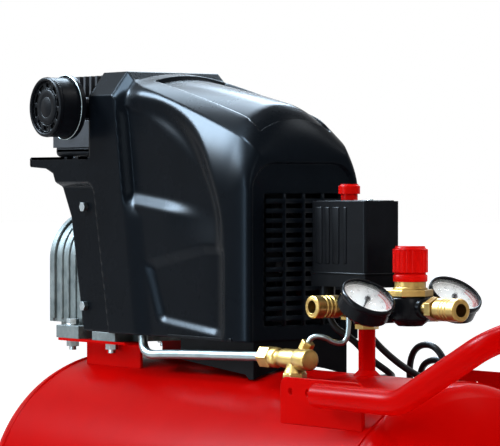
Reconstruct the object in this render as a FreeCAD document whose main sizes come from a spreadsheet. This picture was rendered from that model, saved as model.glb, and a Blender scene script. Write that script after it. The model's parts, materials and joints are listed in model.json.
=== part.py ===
"""Portable piston air compressor: motor and pump on a horizontal tank with wheels and a handle.

Row frame: millimetres, +X towards the handle end, -Y the side with the discharge tube, +Z up.
The origin is the middle of the footprint, on the ground.  Lengths along X are given from the
middle of the tank (tank_x), and heights above the top line of the tank from its crown.
"""
import FreeCAD, Part
import math
import os

import Sketcher
from FreeCAD import Placement, Rotation, Vector

# ------------------------------------------------------------------ driving dimensions
DIMENSIONS = {
    "Tank": {
        "tank_x": -74, "tank_z": 220, "tank_r": 158, "tank_half": 303, "tank_wall": 3,
        "dome_depth": 72, "knuckle_r": 30, "seam_width": 9, "seam_rise": 1.4,
        "end_boss_r": 20, "end_boss_len": 4, "end_plug_r": 14, "end_plug_len": 5,
        "weld_rise": 5, "weld_width": 5,
    },
    "Wheels and foot": {
        "wheel_r": 75, "wheel_width": 34, "wheel_dx": -240, "wheel_gap": 4.35, "rim_r": 52,
        "rim_wall": 5, "rim_lip": 2, "wheel_web": 3, "tyre_edge": 9, "hub_r": 15, "hub_half": 18,
        "axle_r": 6, "axle_play": 0.05,
        "axle_nut_r": 10, "axle_nut_len": 5, "bracket_step": 23, "bracket_wall": 4,
        "bracket_half": 42, "foot_dx": 205, "foot_y": 84, "foot_r": 20, "foot_rise": 24,
        "foot_sheet": 3, "foot_flange": 24, "foot_half": 108,
    },
    "Handle": {
        "handle_r": 12, "handle_wall": 2, "handle_y": 120, "handle_drop": 11,
        "handle_start": 243, "handle_bend": 364, "handle_end": 520, "handle_climb": 76,
        "handle_corner_r": 55, "handle_bend_r": 60, "grip_r": 16.5, "grip_half": 70,
        "tab_wall": 4, "tab_start": 163, "tab_end": 292, "tab_top": 3, "tab_hole_dx": 179,
        "tab_hole_gap": 28, "tab_hole_r": 3.75, "tab_corner": 9,
    },
    "Pump saddle": {
        "saddle_start": -305, "saddle_end": -169, "saddle_flange_start": -277,
        "saddle_y": 49, "saddle_out": 72, "saddle_sheet": 3, "saddle_rise": 20,
        "foot_bolt_y": 61, "foot_bolt_rear": -292, "foot_bolt_front": -212,
        "foot_bolt_r": 4, "foot_bolt_play": 0.3, "foot_head_r": 7, "foot_head": 5.5,
        "foot_washer_r": 7.6, "foot_washer": 1.6, "foot_nut": 6.5, "foot_tail": 4,
        "lug_rise": 9.6, "lug_rear_rise": 14, "lug_half": 23,
    },
    "Pump": {
        "shaft_rise": 106, "pump_dx": -300, "case_rear": -345, "case_front": -262,
        "case_r": 52, "case_wall": 6, "case_floor": 36, "case_lip": 12, "base_front": -175,
        "base_wall": 12, "gasket": 2, "cover": 8, "cover_dish_r": 34, "cover_dish": 3,
        "case_top": 162, "deck_r": 37.5, "bore_r": 24, "barrel_wall": 6, "barrel_top": 232,
        "fin_r": 44,
        "fin": 3, "fin_pitch": 10, "fin_count": 5, "fin_first": 173,
        "top_fin": 5,
        "head_half_x": 54, "head_half_y": 48, "head_base": 30, "head_top": 311,
        "head_fin": 4, "head_fin_pitch": 12, "head_fin_count": 9,
        "piston_play": 0.05, "piston_len": 30, "piston_gap": 2, "piston_crown": 7,
        "stroke": 40, "pin_r": 5, "rod_len": 86, "rod_width": 13, "rod_thick": 7,
        "small_end_r": 9, "big_end_r": 15, "big_end_half": 7, "crank_pin_r": 8,
        "crank_gap": 0.3, "crank_r": 36, "crank_thick": 9, "crank_flat": 22,
    },
    "Motor": {
        "shaft_r": 8, "shaft_end": 18, "bearing_r": 16, "bearing_width": 12,
        "stator_r": 60, "stator_bore": 33, "stator_rear": -225, "stator_front": -145,
        "rotor_gap": 0.5, "coil_in": 36, "coil_out": 53, "coil_len": 18,
        "shield_r": 62, "shield_wall": 4, "shield_front": -112, "shield_plate": 7,
        "shield_vents": 8, "vent_r": 8, "vent_ring_r": 41.4, "lead_dx": -128, "lead_y": 50,
        "lead_rise": 60, "lead_boss": 16, "fan_dx": -12, "fan_len": 26, "fan_r": 64, "fan_hub_r": 15,
        "fan_blades": 9, "fan_blade": 2,
    },
    "Shroud": {
        "shroud_half": 80, "shroud_wall": 3, "shroud_foot": 30, "shroud_front": 58,
        "shroud_rear": -252, "shroud_rear_mid": -277, "shroud_mid_rise": 155,
        "ledge_tip": -352, "ledge_under": 210, "ledge_top": 221, "ledge_neck": -296,
        "ledge_neck_rise": 200, "band_rear": -229, "band_front": -183, "band_top": 313,
        "roof_rear": -169, "roof_rear_rise": 302, "roof_front_rise": 229, "roof_r": 1200,
        "roof_bow_r": 68, "roof_rear_top": 309, "nose_rear": 15, "nose_rise": 275, "nose_r": 64,
        "lip_rise": 218, "arch_half": 66, "arch_top": 214, "arch_r": 30, "arch_inset": 4,
        "roof_crease": 60, "roof_drop": 30, "pillar_r": 22,
        "recess": 5, "panel_rear": -150, "panel_low": 180, "panel_tip": 26,
        "panel_tip_rise": 135, "panel_top_rear": 272, "panel_arch_r": 90, "panel_brow_r": 400,
        "vent_rear": -122, "vent_rear_rise": 105, "vent_mid": -24, "vent_top": 122,
        "vent_front": 28, "vent_foot_rear": -97,
        "flange_depth": 8, "flange_top": 194, "flange_top_front": -222,
        "flange_foot_front": -188, "shroud_bolt_dx": -248, "shroud_bolt_low": 57,
        "shroud_bolt_high": 166, "shroud_bolt_r": 3, "shroud_bolt_head_r": 5.5,
        "shroud_bolt_head": 5, "shroud_bolt_len": 16,
        "slot_height": 5.2, "slot_pitch": 10, "slot_rows": 14, "slot_low": 46,
        "slot_width": 21, "slot_bar": 3.6, "slot_columns": 4,
        "skirt_rear": -80, "skirt_half": 60, "skirt_gap": 3,
    },
    "Air filter": {
        "filter_dx": -256, "filter_rise": 275, "filter_neck_r": 12, "filter_back": 88,
        "filter_ring_r": 35, "filter_ring": 5, "filter_can_r": 32.5, "filter_front": 120,
        "filter_cap": 6, "filter_wall": 2.5, "filter_face": 3, "filter_hole_r": 3.2,
        "filter_holes": 9, "filter_hole_ring": 21.5, "foam_gap": 0.3, "neck_bore": 8,
    },
    "Air line": {
        "valve_y": 68, "valve_rise": 17, "tube_r": 5, "tube_wall": 1, "tube_drop_dx": -160,
        "tube_bend_r": 34, "tube_port_y": 38, "tube_port_rise": 247, "valve_nut_dx": 80,
        "valve_nut_len": 17, "valve_nut_r": 11.5, "valve_body_r": 9.2, "valve_stem_dx": 133,
        "valve_end": 150, "valve_plug_r": 10.4, "valve_plug_len": 9, "valve_stem_r": 8.5,
        "valve_hex_r": 12, "valve_boss_r": 13, "valve_boss_top": -4, "unload_r": 2.6,
        "unload_nut_r": 7, "unload_nut_len": 11,
    },
    "Riser and switch": {
        "riser_dx": 162, "riser_r": 8.5, "riser_top": 46, "cross_half": 15, "cross_neck": 12,
        "cross_neck_r": 12, "switch_rear": 98, "switch_front": 187, "switch_half": 22,
        "switch_foot": 88, "switch_lip": 13, "switch_top": 174, "switch_wall": 2.5,
        "switch_corner": 4, "knob_dx": 133, "knob_r": 11, "knob_neck_r": 8.5,
        "knob_neck": 7, "knob_top": 191, "knob_play": 0.08,
        "gland_r": 8, "gland_len": 10, "gland_lead_dx": 108, "gland_lead_y": -9,
        "gland_mains_dx": 130, "gland_mains_y": 14, "safety_r": 7, "safety_len": 16,
        "safety_hex_r": 9, "safety_hex": 8, "safety_stem_r": 2.5, "safety_ring_r": 9,
        "safety_wire": 1.5,
    },
    "Regulator": {
        "regulator_dx": 221, "regulator_y": 8, "regulator_r": 21, "regulator_foot": 57,
        "regulator_top": 80,
        "flange_hex_r": 23, "flange_hex": 7, "collar_r": 15.5, "collar": 8, "lock_r": 17,
        "lock": 7, "knob_gap": 2, "regulator_knob_r": 17.5, "regulator_knob": 26,
        "flute_r": 2.2, "flute_count": 20, "spindle_r": 5, "spindle_play": 0.05,
        "nipple_r": 7, "port": 3, "port_r": 10, "line_rise": 69,
    },
    "Gauges": {
        "gauge_dx": 225, "gauge_y": 55, "gauge_rise": 82, "gauge_tilt": 36, "gauge_r": 27.5,
        "gauge_back": 20, "gauge_lip": 6, "gauge_wall": 2, "gauge_stem_r": 5,
        "gauge_stem": 8, "arm_r": 5.5, "needle_len": 19, "needle_width": 1.8,
        "needle_rise": 1.6, "needle_thick": 0.8, "needle_hub_r": 3, "needle_pin_r": 1,
        "needle_play": 0.05,
    },
    "Couplers": {
        "coupler_left_dx": 150, "coupler_left_end": 60, "coupler_right_end": 299,
        "coupler_bore_r": 6.6, "coupler_bore": 22, "coupler_body_r": 9, "coupler_play": 0.05,
        "sleeve_r": 11.3,
        "sleeve_len": 32, "coupler_hex_r": 12, "coupler_hex": 9, "coupler_travel": 3,
    },
    "Drain": {
        "drain_dx": 0, "drain_boss_r": 14, "drain_boss": 8, "drain_hex_r": 11,
        "drain_hex": 9, "drain_body_r": 6, "drain_body": 8, "drain_knob_r": 9,
        "drain_knob": 7, "drain_stem_r": 3,
    },
    "Cords": {
        "cord_r": 3.5, "coil_dx": 72, "coil_y": 130, "coil_r": 38, "coil_half": 12,
        "coil_thick": 24, "plug_r": 18, "plug_len": 38, "plug_taper": 4, "plug_pin_r": 2.4,
        "plug_pin": 19, "floor_gap": 0.2,
        "plug_pin_gap": 19, "plug_neck_r": 7, "plug_neck": 30,
    },
}


class Size:
    """A length together with the spreadsheet expression that gives it."""

    def __init__(self, value, text):
        self.value = float(value)
        self.text = text

    def __add__(self, other):
        other = size_of(other)
        return Size(self.value + other.value, f"({self.text} + {other.text})")

    def __sub__(self, other):
        other = size_of(other)
        return Size(self.value - other.value, f"({self.text} - {other.text})")

    def __mul__(self, other):
        other = size_of(other)
        return Size(self.value * other.value, f"({self.text} * {other.text})")

    def __truediv__(self, other):
        other = size_of(other)
        return Size(self.value / other.value, f"({self.text} / {other.text})")

    def __radd__(self, other):
        return size_of(other) + self

    def __rsub__(self, other):
        return size_of(other) - self

    def __rmul__(self, other):
        return size_of(other) * self

    def __neg__(self):
        return size_of(0) - self


def size_of(value):
    """Wrap a plain number, and leave a Size as it is."""
    return value if isinstance(value, Size) else Size(value, repr(float(value)))


def root(size):
    """Square root of a Size."""
    return Size(math.sqrt(size.value), f"sqrt({size.text})")


def sine(size):
    """Sine of a Size in degrees."""
    return Size(math.sin(math.radians(size.value)), f"sin({size.text})")


def cosine(size):
    """Cosine of a Size in degrees."""
    return Size(math.cos(math.radians(size.value)), f"cos({size.text})")


class Sheet:
    """The spreadsheet's cells as attributes, each a Size."""

    def __init__(self, document):
        self.cells = document.addObject("Spreadsheet::Sheet", "Params")
        row = 1
        for section, entries in DIMENSIONS.items():
            self.cells.set(f"A{row}", section)
            row += 1
            for name, value in entries.items():
                self.cells.set(f"A{row}", name)
                self.cells.set(f"B{row}", str(value))
                self.cells.setAlias(f"B{row}", name)
                setattr(self, name, Size(value, f"Params.{name}"))
                row += 1


doc = FreeCAD.newDocument("AirCompressor")
P = Sheet(doc)
doc.recompute()

CROWN = P.tank_z + P.tank_r
# half the tank's width at the height of the tyre's top, where the two are closest
FLANK = root(P.tank_r * P.tank_r - (P.tank_z - P.wheel_r * 2) * (P.tank_z - P.wheel_r * 2))
WHEEL_Y = FLANK + P.wheel_gap + P.wheel_width / 2
BRACKET_Y = WHEEL_Y - P.bracket_step
NODES = []


def count(size):
    """A cell that counts copies, as a whole number."""
    return round(size.value)


def x_at(station):
    """A station measured from the middle of the tank, in the row frame."""
    return P.tank_x + station


def z_at(rise):
    """A height above the tank's crown, in the row frame."""
    return CROWN + rise


# ------------------------------------------------------------------ modelling helpers
ALONG = {
    "Z": Rotation(),
    "-Z": Rotation(Vector(1, 0, 0), 180),
    "X": Rotation(Vector(0, 1, 0), 90),
    "-X": Rotation(Vector(0, 1, 0), -90),
    "Y": Rotation(Vector(1, 0, 0), -90),
    "-Y": Rotation(Vector(1, 0, 0), 90),
}


def node(item, label):
    """Name a finished sub-part, so that it is written to its own file."""
    item.Label = label
    NODES.append(item)
    return item


def bind(item, name, value):
    """Bind one property to the spreadsheet."""
    item.setExpression(name, size_of(value).text)


def seat(item, at, turn=None):
    """Place an object: its position follows the spreadsheet."""
    item.Placement = Placement(Vector(), turn or Rotation())
    for letter, value in zip("xyz", at):
        bind(item, f".Placement.Base.{letter}", value)
    return item


def primitive(kind, name, at, turn, **sizes):
    """A Part primitive with every size bound."""
    item = doc.addObject(f"Part::{kind}", name)
    for key, value in sizes.items():
        bind(item, key, value)
    return seat(item, at, turn)


def cylinder(name, radius, height, at, along="Z"):
    turn = ALONG[along] if isinstance(along, str) else along
    return primitive("Cylinder", name, at, turn, Radius=radius, Height=height)


def cone(name, radius_1, radius_2, height, at, along="Z"):
    turn = ALONG[along] if isinstance(along, str) else along
    return primitive("Cone", name, at, turn, Radius1=radius_1, Radius2=radius_2, Height=height)


def box(name, low, high):
    """A box between two opposite corners."""
    span = [size_of(b) - size_of(a) for a, b in zip(low, high)]
    return primitive("Box", name, low, None, Length=span[0], Width=span[1], Height=span[2])


def hexagon(name, circumradius, height, at, along="Z"):
    item = doc.addObject("Part::Prism", name)
    item.Polygon = 6
    bind(item, "Circumradius", circumradius)
    bind(item, "Height", height)
    return seat(item, at, ALONG[along] if isinstance(along, str) else along)


def torus(name, ring_radius, wire_radius, at, along="Z"):
    turn = ALONG[along] if isinstance(along, str) else along
    return primitive("Torus", name, at, turn, Radius1=ring_radius, Radius2=wire_radius)


def sphere(name, radius, at):
    return primitive("Sphere", name, at, None, Radius=radius)


def fuse(name, *parts):
    item = doc.addObject("Part::MultiFuse", name)
    item.Shapes = list(parts)
    item.Refine = True
    return item


def group(name, *parts):
    """Separate solids that share one node."""
    item = doc.addObject("Part::Compound", name)
    item.Links = list(parts)
    return item


def cut(name, base, *tools):
    item = doc.addObject("Part::Cut", name)
    item.Base = base
    item.Tool = tools[0] if len(tools) == 1 else group(f"{name}_tools", *tools)
    item.Refine = True
    return item


def common(name, *parts):
    item = doc.addObject("Part::MultiCommon", name)
    item.Shapes = list(parts)
    return item


def arc_middle(start, end, radius, side):
    """The middle point of an arc between two sketch points; side +1 bulges to the left."""
    chord = end - start
    half = chord.Length / 2
    rise = radius - math.sqrt(max(radius * radius - half * half, 0))
    left = Vector(-chord.y, chord.x, 0).normalize()
    return (start + end) / 2 + left * (rise * side)


def outline(body, plane, name, points):
    """A closed, fully constrained sketch.  A point is (u, v), or (u, v, radius, side) where
    the stretch to the next point is an arc."""
    sketch = body.newObject("Sketcher::SketchObject", name)
    support = [feature for feature in body.Origin.OriginFeatures if feature.Role == plane][0]
    sketch.AttachmentSupport = [(support, "")]
    sketch.MapMode = "FlatFace"
    spots = [Vector(size_of(point[0]).value, size_of(point[1]).value, 0) for point in points]
    count = len(points)
    for index, point in enumerate(points):
        start, end = spots[index], spots[(index + 1) % count]
        if len(point) == 4:
            middle = arc_middle(start, end, size_of(point[2]).value, point[3])
            sketch.addGeometry(Part.Arc(start, middle, end), False)
        else:
            sketch.addGeometry(Part.LineSegment(start, end), False)
    ends = []
    for index, point in enumerate(points):
        # an arc is stored counter-clockwise, so its ends may be swapped
        reverse = len(point) == 4 and point[3] > 0
        ends.append((2, 1) if reverse else (1, 2))
    for index in range(count):
        following = (index + 1) % count
        joint = Sketcher.Constraint("Coincident", index, ends[index][1], following, ends[following][0])
        sketch.addConstraint(joint)
    for index, point in enumerate(points):
        for kind, value in (("DistanceX", point[0]), ("DistanceY", point[1])):
            place = Sketcher.Constraint(kind, -1, 1, index, ends[index][0], size_of(value).value)
            number = sketch.addConstraint(place)
            sketch.setExpression(f"Constraints[{number}]", size_of(value).text)
        if len(point) == 4:
            bend = Sketcher.Constraint("Radius", index, size_of(point[2]).value)
            number = sketch.addConstraint(bend)
            sketch.setExpression(f"Constraints[{number}]", size_of(point[2]).text)
    sketch.Visibility = False
    return sketch


def turned(name, points, at, along="Z"):
    """A body of revolution.  Points are (radius, height) about its own Z axis."""
    body = doc.addObject("PartDesign::Body", name)
    sketch = outline(body, "XZ_Plane", f"{name}_section", points)
    turn = body.newObject("PartDesign::Revolution", f"{name}_turn")
    turn.Profile = sketch
    turn.ReferenceAxis = (sketch, ["V_Axis"])
    turn.Angle = 360
    seat(body, at, ALONG[along] if isinstance(along, str) else along)
    return body


def padded(name, plane, points, length, at=(0, 0, 0), turn=None):
    """A body padded to both sides of its sketch plane."""
    body = doc.addObject("PartDesign::Body", name)
    sketch = outline(body, plane, f"{name}_outline", points)
    pad = body.newObject("PartDesign::Pad", f"{name}_pad")
    pad.Profile = sketch
    pad.SideType = "Symmetric"
    bind(pad, "Length", length)
    seat(body, at, turn)
    return body


def dress(body, kind, name, pick, prop, value):
    """Fillet or chamfer the edges of the body's tip that the test picks."""
    doc.recompute()
    base = body.Tip
    edges = [f"Edge{n + 1}" for n, edge in enumerate(base.Shape.Edges) if pick(edge)]
    feature = body.newObject(f"PartDesign::{kind}", name)
    feature.Base = (base, edges)
    bind(feature, prop, value)
    body.Tip = feature
    return feature


def runs_along(edge, letter):
    """True for a straight edge parallel to an axis."""
    if edge.Curve.TypeId != "Part::GeomLine":
        return False
    return abs(getattr(edge.Curve.Direction, letter)) > 0.999


def tube_path(points, radii):
    """A wire of straight runs joined by tangent arcs."""
    edges = []
    here = points[0]
    for before, corner, after, radius in zip(points, points[1:], points[2:], radii):
        back = (before - corner).normalize()
        ahead = (after - corner).normalize()
        half_turn = (math.pi - back.getAngle(ahead)) / 2
        reach = radius * math.tan(half_turn)
        start, end = corner + back * reach, corner + ahead * reach
        inward = (back + ahead).normalize()
        centre = corner + inward * (radius / math.cos(half_turn))
        middle = centre - inward * radius
        if (start - here).Length > 1e-6:
            edges.append(Part.LineSegment(here, start).toShape())
        edges.append(Part.Arc(start, middle, end).toShape())
        here = end
    edges.append(Part.LineSegment(here, points[-1]).toShape())
    return Part.Wire(edges)


def swept(name, points, radii, radius, bore=0.0):
    """A round bar or pipe along a path of runs and arcs."""
    path = tube_path(points, radii)
    heading = (points[1] - points[0]).normalize()

    def bar(size):
        circle = Part.Wire([Part.Circle(points[0], heading, size).toShape()])
        return path.makePipeShell([circle], True, False)

    shape = bar(radius)
    if bore:
        shape = shape.cut(bar(bore))
    item = doc.addObject("Part::Feature", name)
    item.Shape = shape
    return item, path


def easy_radii(points, smallest, name):
    """The largest tangent arcs that the runs beside each point allow."""
    radii = []
    for before, corner, after in zip(points, points[1:], points[2:]):
        back, ahead = before - corner, after - corner
        half_turn = (math.pi - back.getAngle(ahead)) / 2
        shorter = min(back.Length, ahead.Length)
        radii.append(0.45 * shorter / math.tan(half_turn))
    print(name, "bend radii", [round(radius) for radius in radii], "smallest", smallest)
    return radii


def spot(dx, y, rise):
    """A point in numbers, from a station, a side and a height above the crown."""
    return Vector(P.tank_x.value + size_of(dx).value, size_of(y).value,
                  CROWN.value + size_of(rise).value)


# ------------------------------------------------------------------ tank
def tank_section(inset):
    """Half the tank's section: a shell with torispherical ends, as points along X."""
    radius, depth, knuckle = P.tank_r - inset, P.dome_depth - inset, P.knuckle_r - inset
    slope = P.tank_r - P.knuckle_r
    crown_r = (P.dome_depth * P.dome_depth + slope * slope - P.knuckle_r * P.knuckle_r) / (
        2 * (P.dome_depth - P.knuckle_r))
    reach = (crown_r - P.dome_depth) / (crown_r - P.knuckle_r)
    drop = slope / (crown_r - P.knuckle_r)
    centre = P.tank_half + P.dome_depth - crown_r
    turn_x = centre + (crown_r - inset) * reach
    turn_r = (crown_r - inset) * drop
    return radius, P.tank_half + depth, knuckle, crown_r - inset, turn_x, turn_r


def build_tank():
    radius, pole, knuckle, crown_r, turn_x, turn_r = tank_section(0)
    in_radius, in_pole, in_knuckle, in_crown_r, in_turn_x, in_turn_r = tank_section(P.tank_wall)
    lip, rise = P.seam_width / 2, P.seam_rise
    seam = [(P.tank_half + lip, radius), (P.tank_half + lip - 1, radius + rise),
            (P.tank_half - lip + 1, radius + rise), (P.tank_half - lip, radius)]
    points = [(pole, 0, crown_r, -1), (turn_x, turn_r, knuckle, -1), (P.tank_half, radius)]
    points += seam[3:]
    points += [(-P.tank_half + lip, radius), (-P.tank_half + lip - 1, radius + rise),
               (-P.tank_half, radius + rise), (-P.tank_half, radius, knuckle, -1),
               (-turn_x, turn_r, crown_r, -1), (-pole, 0), (-in_pole, 0, in_crown_r, 1),
               (-in_turn_x, in_turn_r, in_knuckle, 1), (-P.tank_half, in_radius),
               (P.tank_half, in_radius, in_knuckle, 1), (in_turn_x, in_turn_r, in_crown_r, 1),
               (in_pole, 0)]
    # the rim of each dome stands a little proud of the shell at the weld
    points[2:4] = [(P.tank_half, radius), (P.tank_half, radius + rise),
                   (P.tank_half - lip + 1, radius + rise), (P.tank_half - lip, radius)]
    body = doc.addObject("PartDesign::Body", "TankShell")
    sketch = outline(body, "XZ_Plane", "TankSection", points)
    turn = body.newObject("PartDesign::Revolution", "TankTurn")
    turn.Profile = sketch
    turn.ReferenceAxis = (sketch, ["H_Axis"])
    turn.Angle = 360
    seat(body, (P.tank_x, 0, P.tank_z))
    node(body, "tank_shell")


def tank_form(name, extra=0):
    """A plain bar the size of the tank, for shaping what is welded to it."""
    return cylinder(name, P.tank_r + extra, 2 * P.tank_half, (x_at(-P.tank_half), 0, P.tank_z), "X")


def tank_blank():
    """The outside of the tank as one plain solid, for shaping what is welded to it."""
    radius, pole, knuckle, crown_r, turn_x, turn_r = tank_section(0)
    points = [(pole, 0, crown_r, -1), (turn_x, turn_r, knuckle, -1), (P.tank_half, radius),
              (-P.tank_half, radius, knuckle, -1), (-turn_x, turn_r, crown_r, -1), (-pole, 0)]
    body = doc.addObject("PartDesign::Body", "TankBlank")
    sketch = outline(body, "XZ_Plane", "TankBlankSection", points)
    turn = body.newObject("PartDesign::Revolution", "TankBlankTurn")
    turn.Profile = sketch
    turn.ReferenceAxis = (sketch, ["H_Axis"])
    turn.Angle = 360
    return seat(body, (P.tank_x, 0, P.tank_z))


def at(dx, y, rise):
    """A position from a station, a side and a height above the crown."""
    return (x_at(dx), y, z_at(rise))


def slab(name, low, high):
    """A box between two corners given as station, side and height above the crown."""
    return box(name, at(*low), at(*high))


def side_plate(name, points, length, y=0):
    """A plate padded to both sides of a plane of constant Y; points are station and height."""
    shifted = [(x_at(point[0]), z_at(point[1]), *point[2:]) for point in points]
    return padded(name, "XZ_Plane", shifted, length, (0, y, 0))


# ------------------------------------------------------------------ what is welded to the tank
def build_bungs(blank):
    pole = P.tank_half + P.dome_depth
    tip = pole + P.end_boss_len
    end_boss = cylinder("EndBoss", P.end_boss_r, P.end_boss_len + P.knuckle_r,
                        (x_at(-tip), 0, P.tank_z), "X")
    end_plug = hexagon("EndPlug", P.end_plug_r, P.end_plug_len,
                       (x_at(-tip - P.end_plug_len), 0, P.tank_z), "X")
    valve_boss = cylinder("ValveBoss", P.valve_boss_r, P.knuckle_r - P.valve_boss_top * -1,
                          at(P.valve_stem_dx, -P.valve_y, -P.knuckle_r))
    riser_weld = cone("RiserWeld", P.riser_r + P.weld_width + 2, P.riser_r, P.weld_rise + 2,
                      at(P.riser_dx, 0, -2))
    riser_bore = cylinder("RiserWeldBore", P.riser_r, P.weld_rise * 3, at(P.riser_dx, 0, -P.weld_rise))
    drain_boss = cylinder("DrainBoss", P.drain_boss_r, P.drain_boss * 2,
                          (x_at(P.drain_dx), 0, P.tank_z - P.tank_r - P.drain_boss))
    welded = fuse("EndBung", end_boss, end_plug)
    rings = group("BungBlanks", welded, valve_boss, cut("RiserRing", riser_weld, riser_bore), drain_boss)
    node(cut("TankBungs", rings, blank), "tank_bungs")


def build_saddle(blank):
    sheet, rise = P.saddle_sheet, P.saddle_rise
    corner = 8
    parts = []
    for side, tag in ((-1, "Right"), (1, "Left")):
        low_y = -P.saddle_out if side < 0 else P.saddle_y
        plate = slab(f"SaddlePlate{tag}", (P.saddle_start, low_y, rise - sheet),
                     (P.saddle_end, low_y + (P.saddle_out - P.saddle_y), rise))
        web = side_plate(f"SaddleWeb{tag}", [
            (P.saddle_flange_start, -P.knuckle_r), (P.saddle_end, -P.knuckle_r),
            (P.saddle_end, rise - sheet - corner, corner, -1), (P.saddle_end - corner, rise - sheet),
            (P.saddle_flange_start, rise - sheet)], sheet, side * (P.saddle_y + sheet / 2))
        holes = [cylinder(f"SaddleHole{tag}{n}", P.foot_bolt_r + P.foot_bolt_play, sheet * 2,
                          at(dx, side * P.foot_bolt_y, rise - sheet * 1.5))
                 for n, dx in enumerate((P.foot_bolt_rear, P.foot_bolt_front))]
        parts.append(cut(f"Saddle{tag}", fuse(f"SaddleBlank{tag}", plate, web), blank, *holes))
    node(group("PumpSaddle", *parts), "pump_saddle")


def build_brackets(blank):
    wall = P.bracket_wall
    items = []
    for side, tag in ((-1, "Right"), (1, "Left")):
        # wheel bracket: an upright plate that hangs from the flank of the tank
        top = P.tank_z - P.tank_r / 3
        low = P.wheel_r - P.axle_nut_r * 2
        points = [(x_at(P.wheel_dx) - P.axle_nut_r * 2, low), (x_at(P.wheel_dx) + P.axle_nut_r * 2, low),
                  (x_at(P.wheel_dx) + P.bracket_half, P.wheel_r + P.bracket_half),
                  (x_at(P.wheel_dx) + P.bracket_half, top), (x_at(P.wheel_dx) - P.bracket_half, top),
                  (x_at(P.wheel_dx) - P.bracket_half, P.wheel_r + P.bracket_half)]
        plate = padded(f"WheelPlate{tag}", "XZ_Plane", points, wall, (0, side * BRACKET_Y, 0))
        hole = cylinder(f"WheelPlateHole{tag}", P.axle_r, wall * 3,
                        (x_at(P.wheel_dx), side * BRACKET_Y - wall * 1.5, P.wheel_r), "Y")
        items.append(cut(f"WheelBracket{tag}", plate, blank, hole))
        # handle tab: an upright plate on the shoulder of the tank, beside the handle's tube
        inner = P.handle_y - P.handle_r - P.tab_wall / 2
        tab = side_plate(f"Tab{tag}", [
            (P.tab_start, -P.handle_r * 5), (P.tab_end, -P.handle_r * 5),
            (P.tab_end, P.tab_top - P.tab_corner, P.tab_corner, -1),
            (P.tab_end - P.tab_corner, P.tab_top),
            (P.tab_start + P.tab_corner, P.tab_top, P.tab_corner, -1),
            (P.tab_start, P.tab_top - P.tab_corner)], P.tab_wall, side * inner)
        holes = [cylinder(f"TabHole{tag}{n}", P.tab_hole_r, P.tab_wall * 3,
                          at(P.tab_hole_dx + P.tab_hole_gap * n, side * inner - P.tab_wall * 1.5,
                             -P.handle_drop), "Y") for n in range(2)]
        items.append(cut(f"HandleTab{tag}", tab, blank, *holes))
    # front foot: a pressed channel across the tank
    half, sheet, rise = P.foot_half, P.foot_sheet, P.foot_rise
    sole = box("FootSole", (x_at(P.foot_dx) - P.foot_flange, -half, rise),
               (x_at(P.foot_dx) + P.foot_flange, half, rise + sheet))
    cheeks = []
    for side, tag in ((-1, "Rear"), (1, "Front")):
        points = [(-half, rise), (half, rise), (half, rise + 12), (P.tank_r * 0.62, P.tank_z * 0.5),
                  (-P.tank_r * 0.62, P.tank_z * 0.5), (-half, rise + 12)]
        cheek = padded(f"FootCheek{tag}", "YZ_Plane", points, sheet,
                       (x_at(P.foot_dx) + side * (P.foot_flange - sheet / 2), 0, 0))
        cheeks.append(cheek)
    items.append(cut("FootChannel", fuse("FootBlank", sole, *cheeks), blank))
    node(group("TankBrackets", *items), "tank_brackets")
    pads = [cone(f"RubberFoot{n}", P.foot_r, P.foot_r - 3, rise, (x_at(P.foot_dx), side * P.foot_y, 0))
            for n, side in enumerate((-1, 1))]
    node(group("RubberFeet", *pads), "rubber_feet")


def build_wheels():
    axles = []
    for side, name in ((-1, "right"), (1, "left")):
        along = "Y" if side > 0 else "-Y"
        tag = name.capitalize()
        centre = (x_at(P.wheel_dx), side * WHEEL_Y, P.wheel_r)
        half, rim, wall = P.wheel_width / 2, P.rim_r, P.rim_wall
        bore = P.axle_r + P.axle_play
        web, lip = P.wheel_web, P.rim_lip
        wheel = turned(f"Wheel{tag}", [
            (bore, -P.hub_half), (P.hub_r, -P.hub_half), (P.hub_r, -web), (rim - wall, -web),
            (rim - wall, -half + lip), (rim, -half + lip), (rim, half - lip), (rim - wall, half - lip),
            (rim - wall, web), (P.hub_r, web), (P.hub_r, P.hub_half), (bore, P.hub_half)], centre, along)
        node(wheel, f"wheel_{name}")
        edge = P.tyre_edge
        tyre = turned(f"Tyre{tag}", [
            (rim, -half + lip), (rim + lip * 2, -half), (P.wheel_r - edge, -half, edge, 1),
            (P.wheel_r, -half + edge), (P.wheel_r, half - edge, edge, 1), (P.wheel_r - edge, half),
            (rim + lip * 2, half), (rim, half - lip)], centre, along)
        node(tyre, f"tyre_{name}")
        start = BRACKET_Y - P.bracket_wall / 2
        head = WHEEL_Y + P.hub_half
        pin = cylinder(f"AxlePin{tag}", P.axle_r, head - start + 1,
                       (x_at(P.wheel_dx), side * start, P.wheel_r), along)
        nut = hexagon(f"AxleNut{tag}", P.axle_nut_r, P.axle_nut_len,
                      (x_at(P.wheel_dx), side * (head + 0.3), P.wheel_r), along)
        collar = cylinder(f"AxleCollar{tag}", P.axle_nut_r, WHEEL_Y - P.hub_half - BRACKET_Y
                          - P.bracket_wall / 2 - 0.3,
                          (x_at(P.wheel_dx), side * (BRACKET_Y + P.bracket_wall / 2), P.wheel_r), along)
        axles.append(fuse(f"Axle{tag}", pin, nut, collar))
    node(group("AxleBolts", *axles), "axle_bolts")


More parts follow.
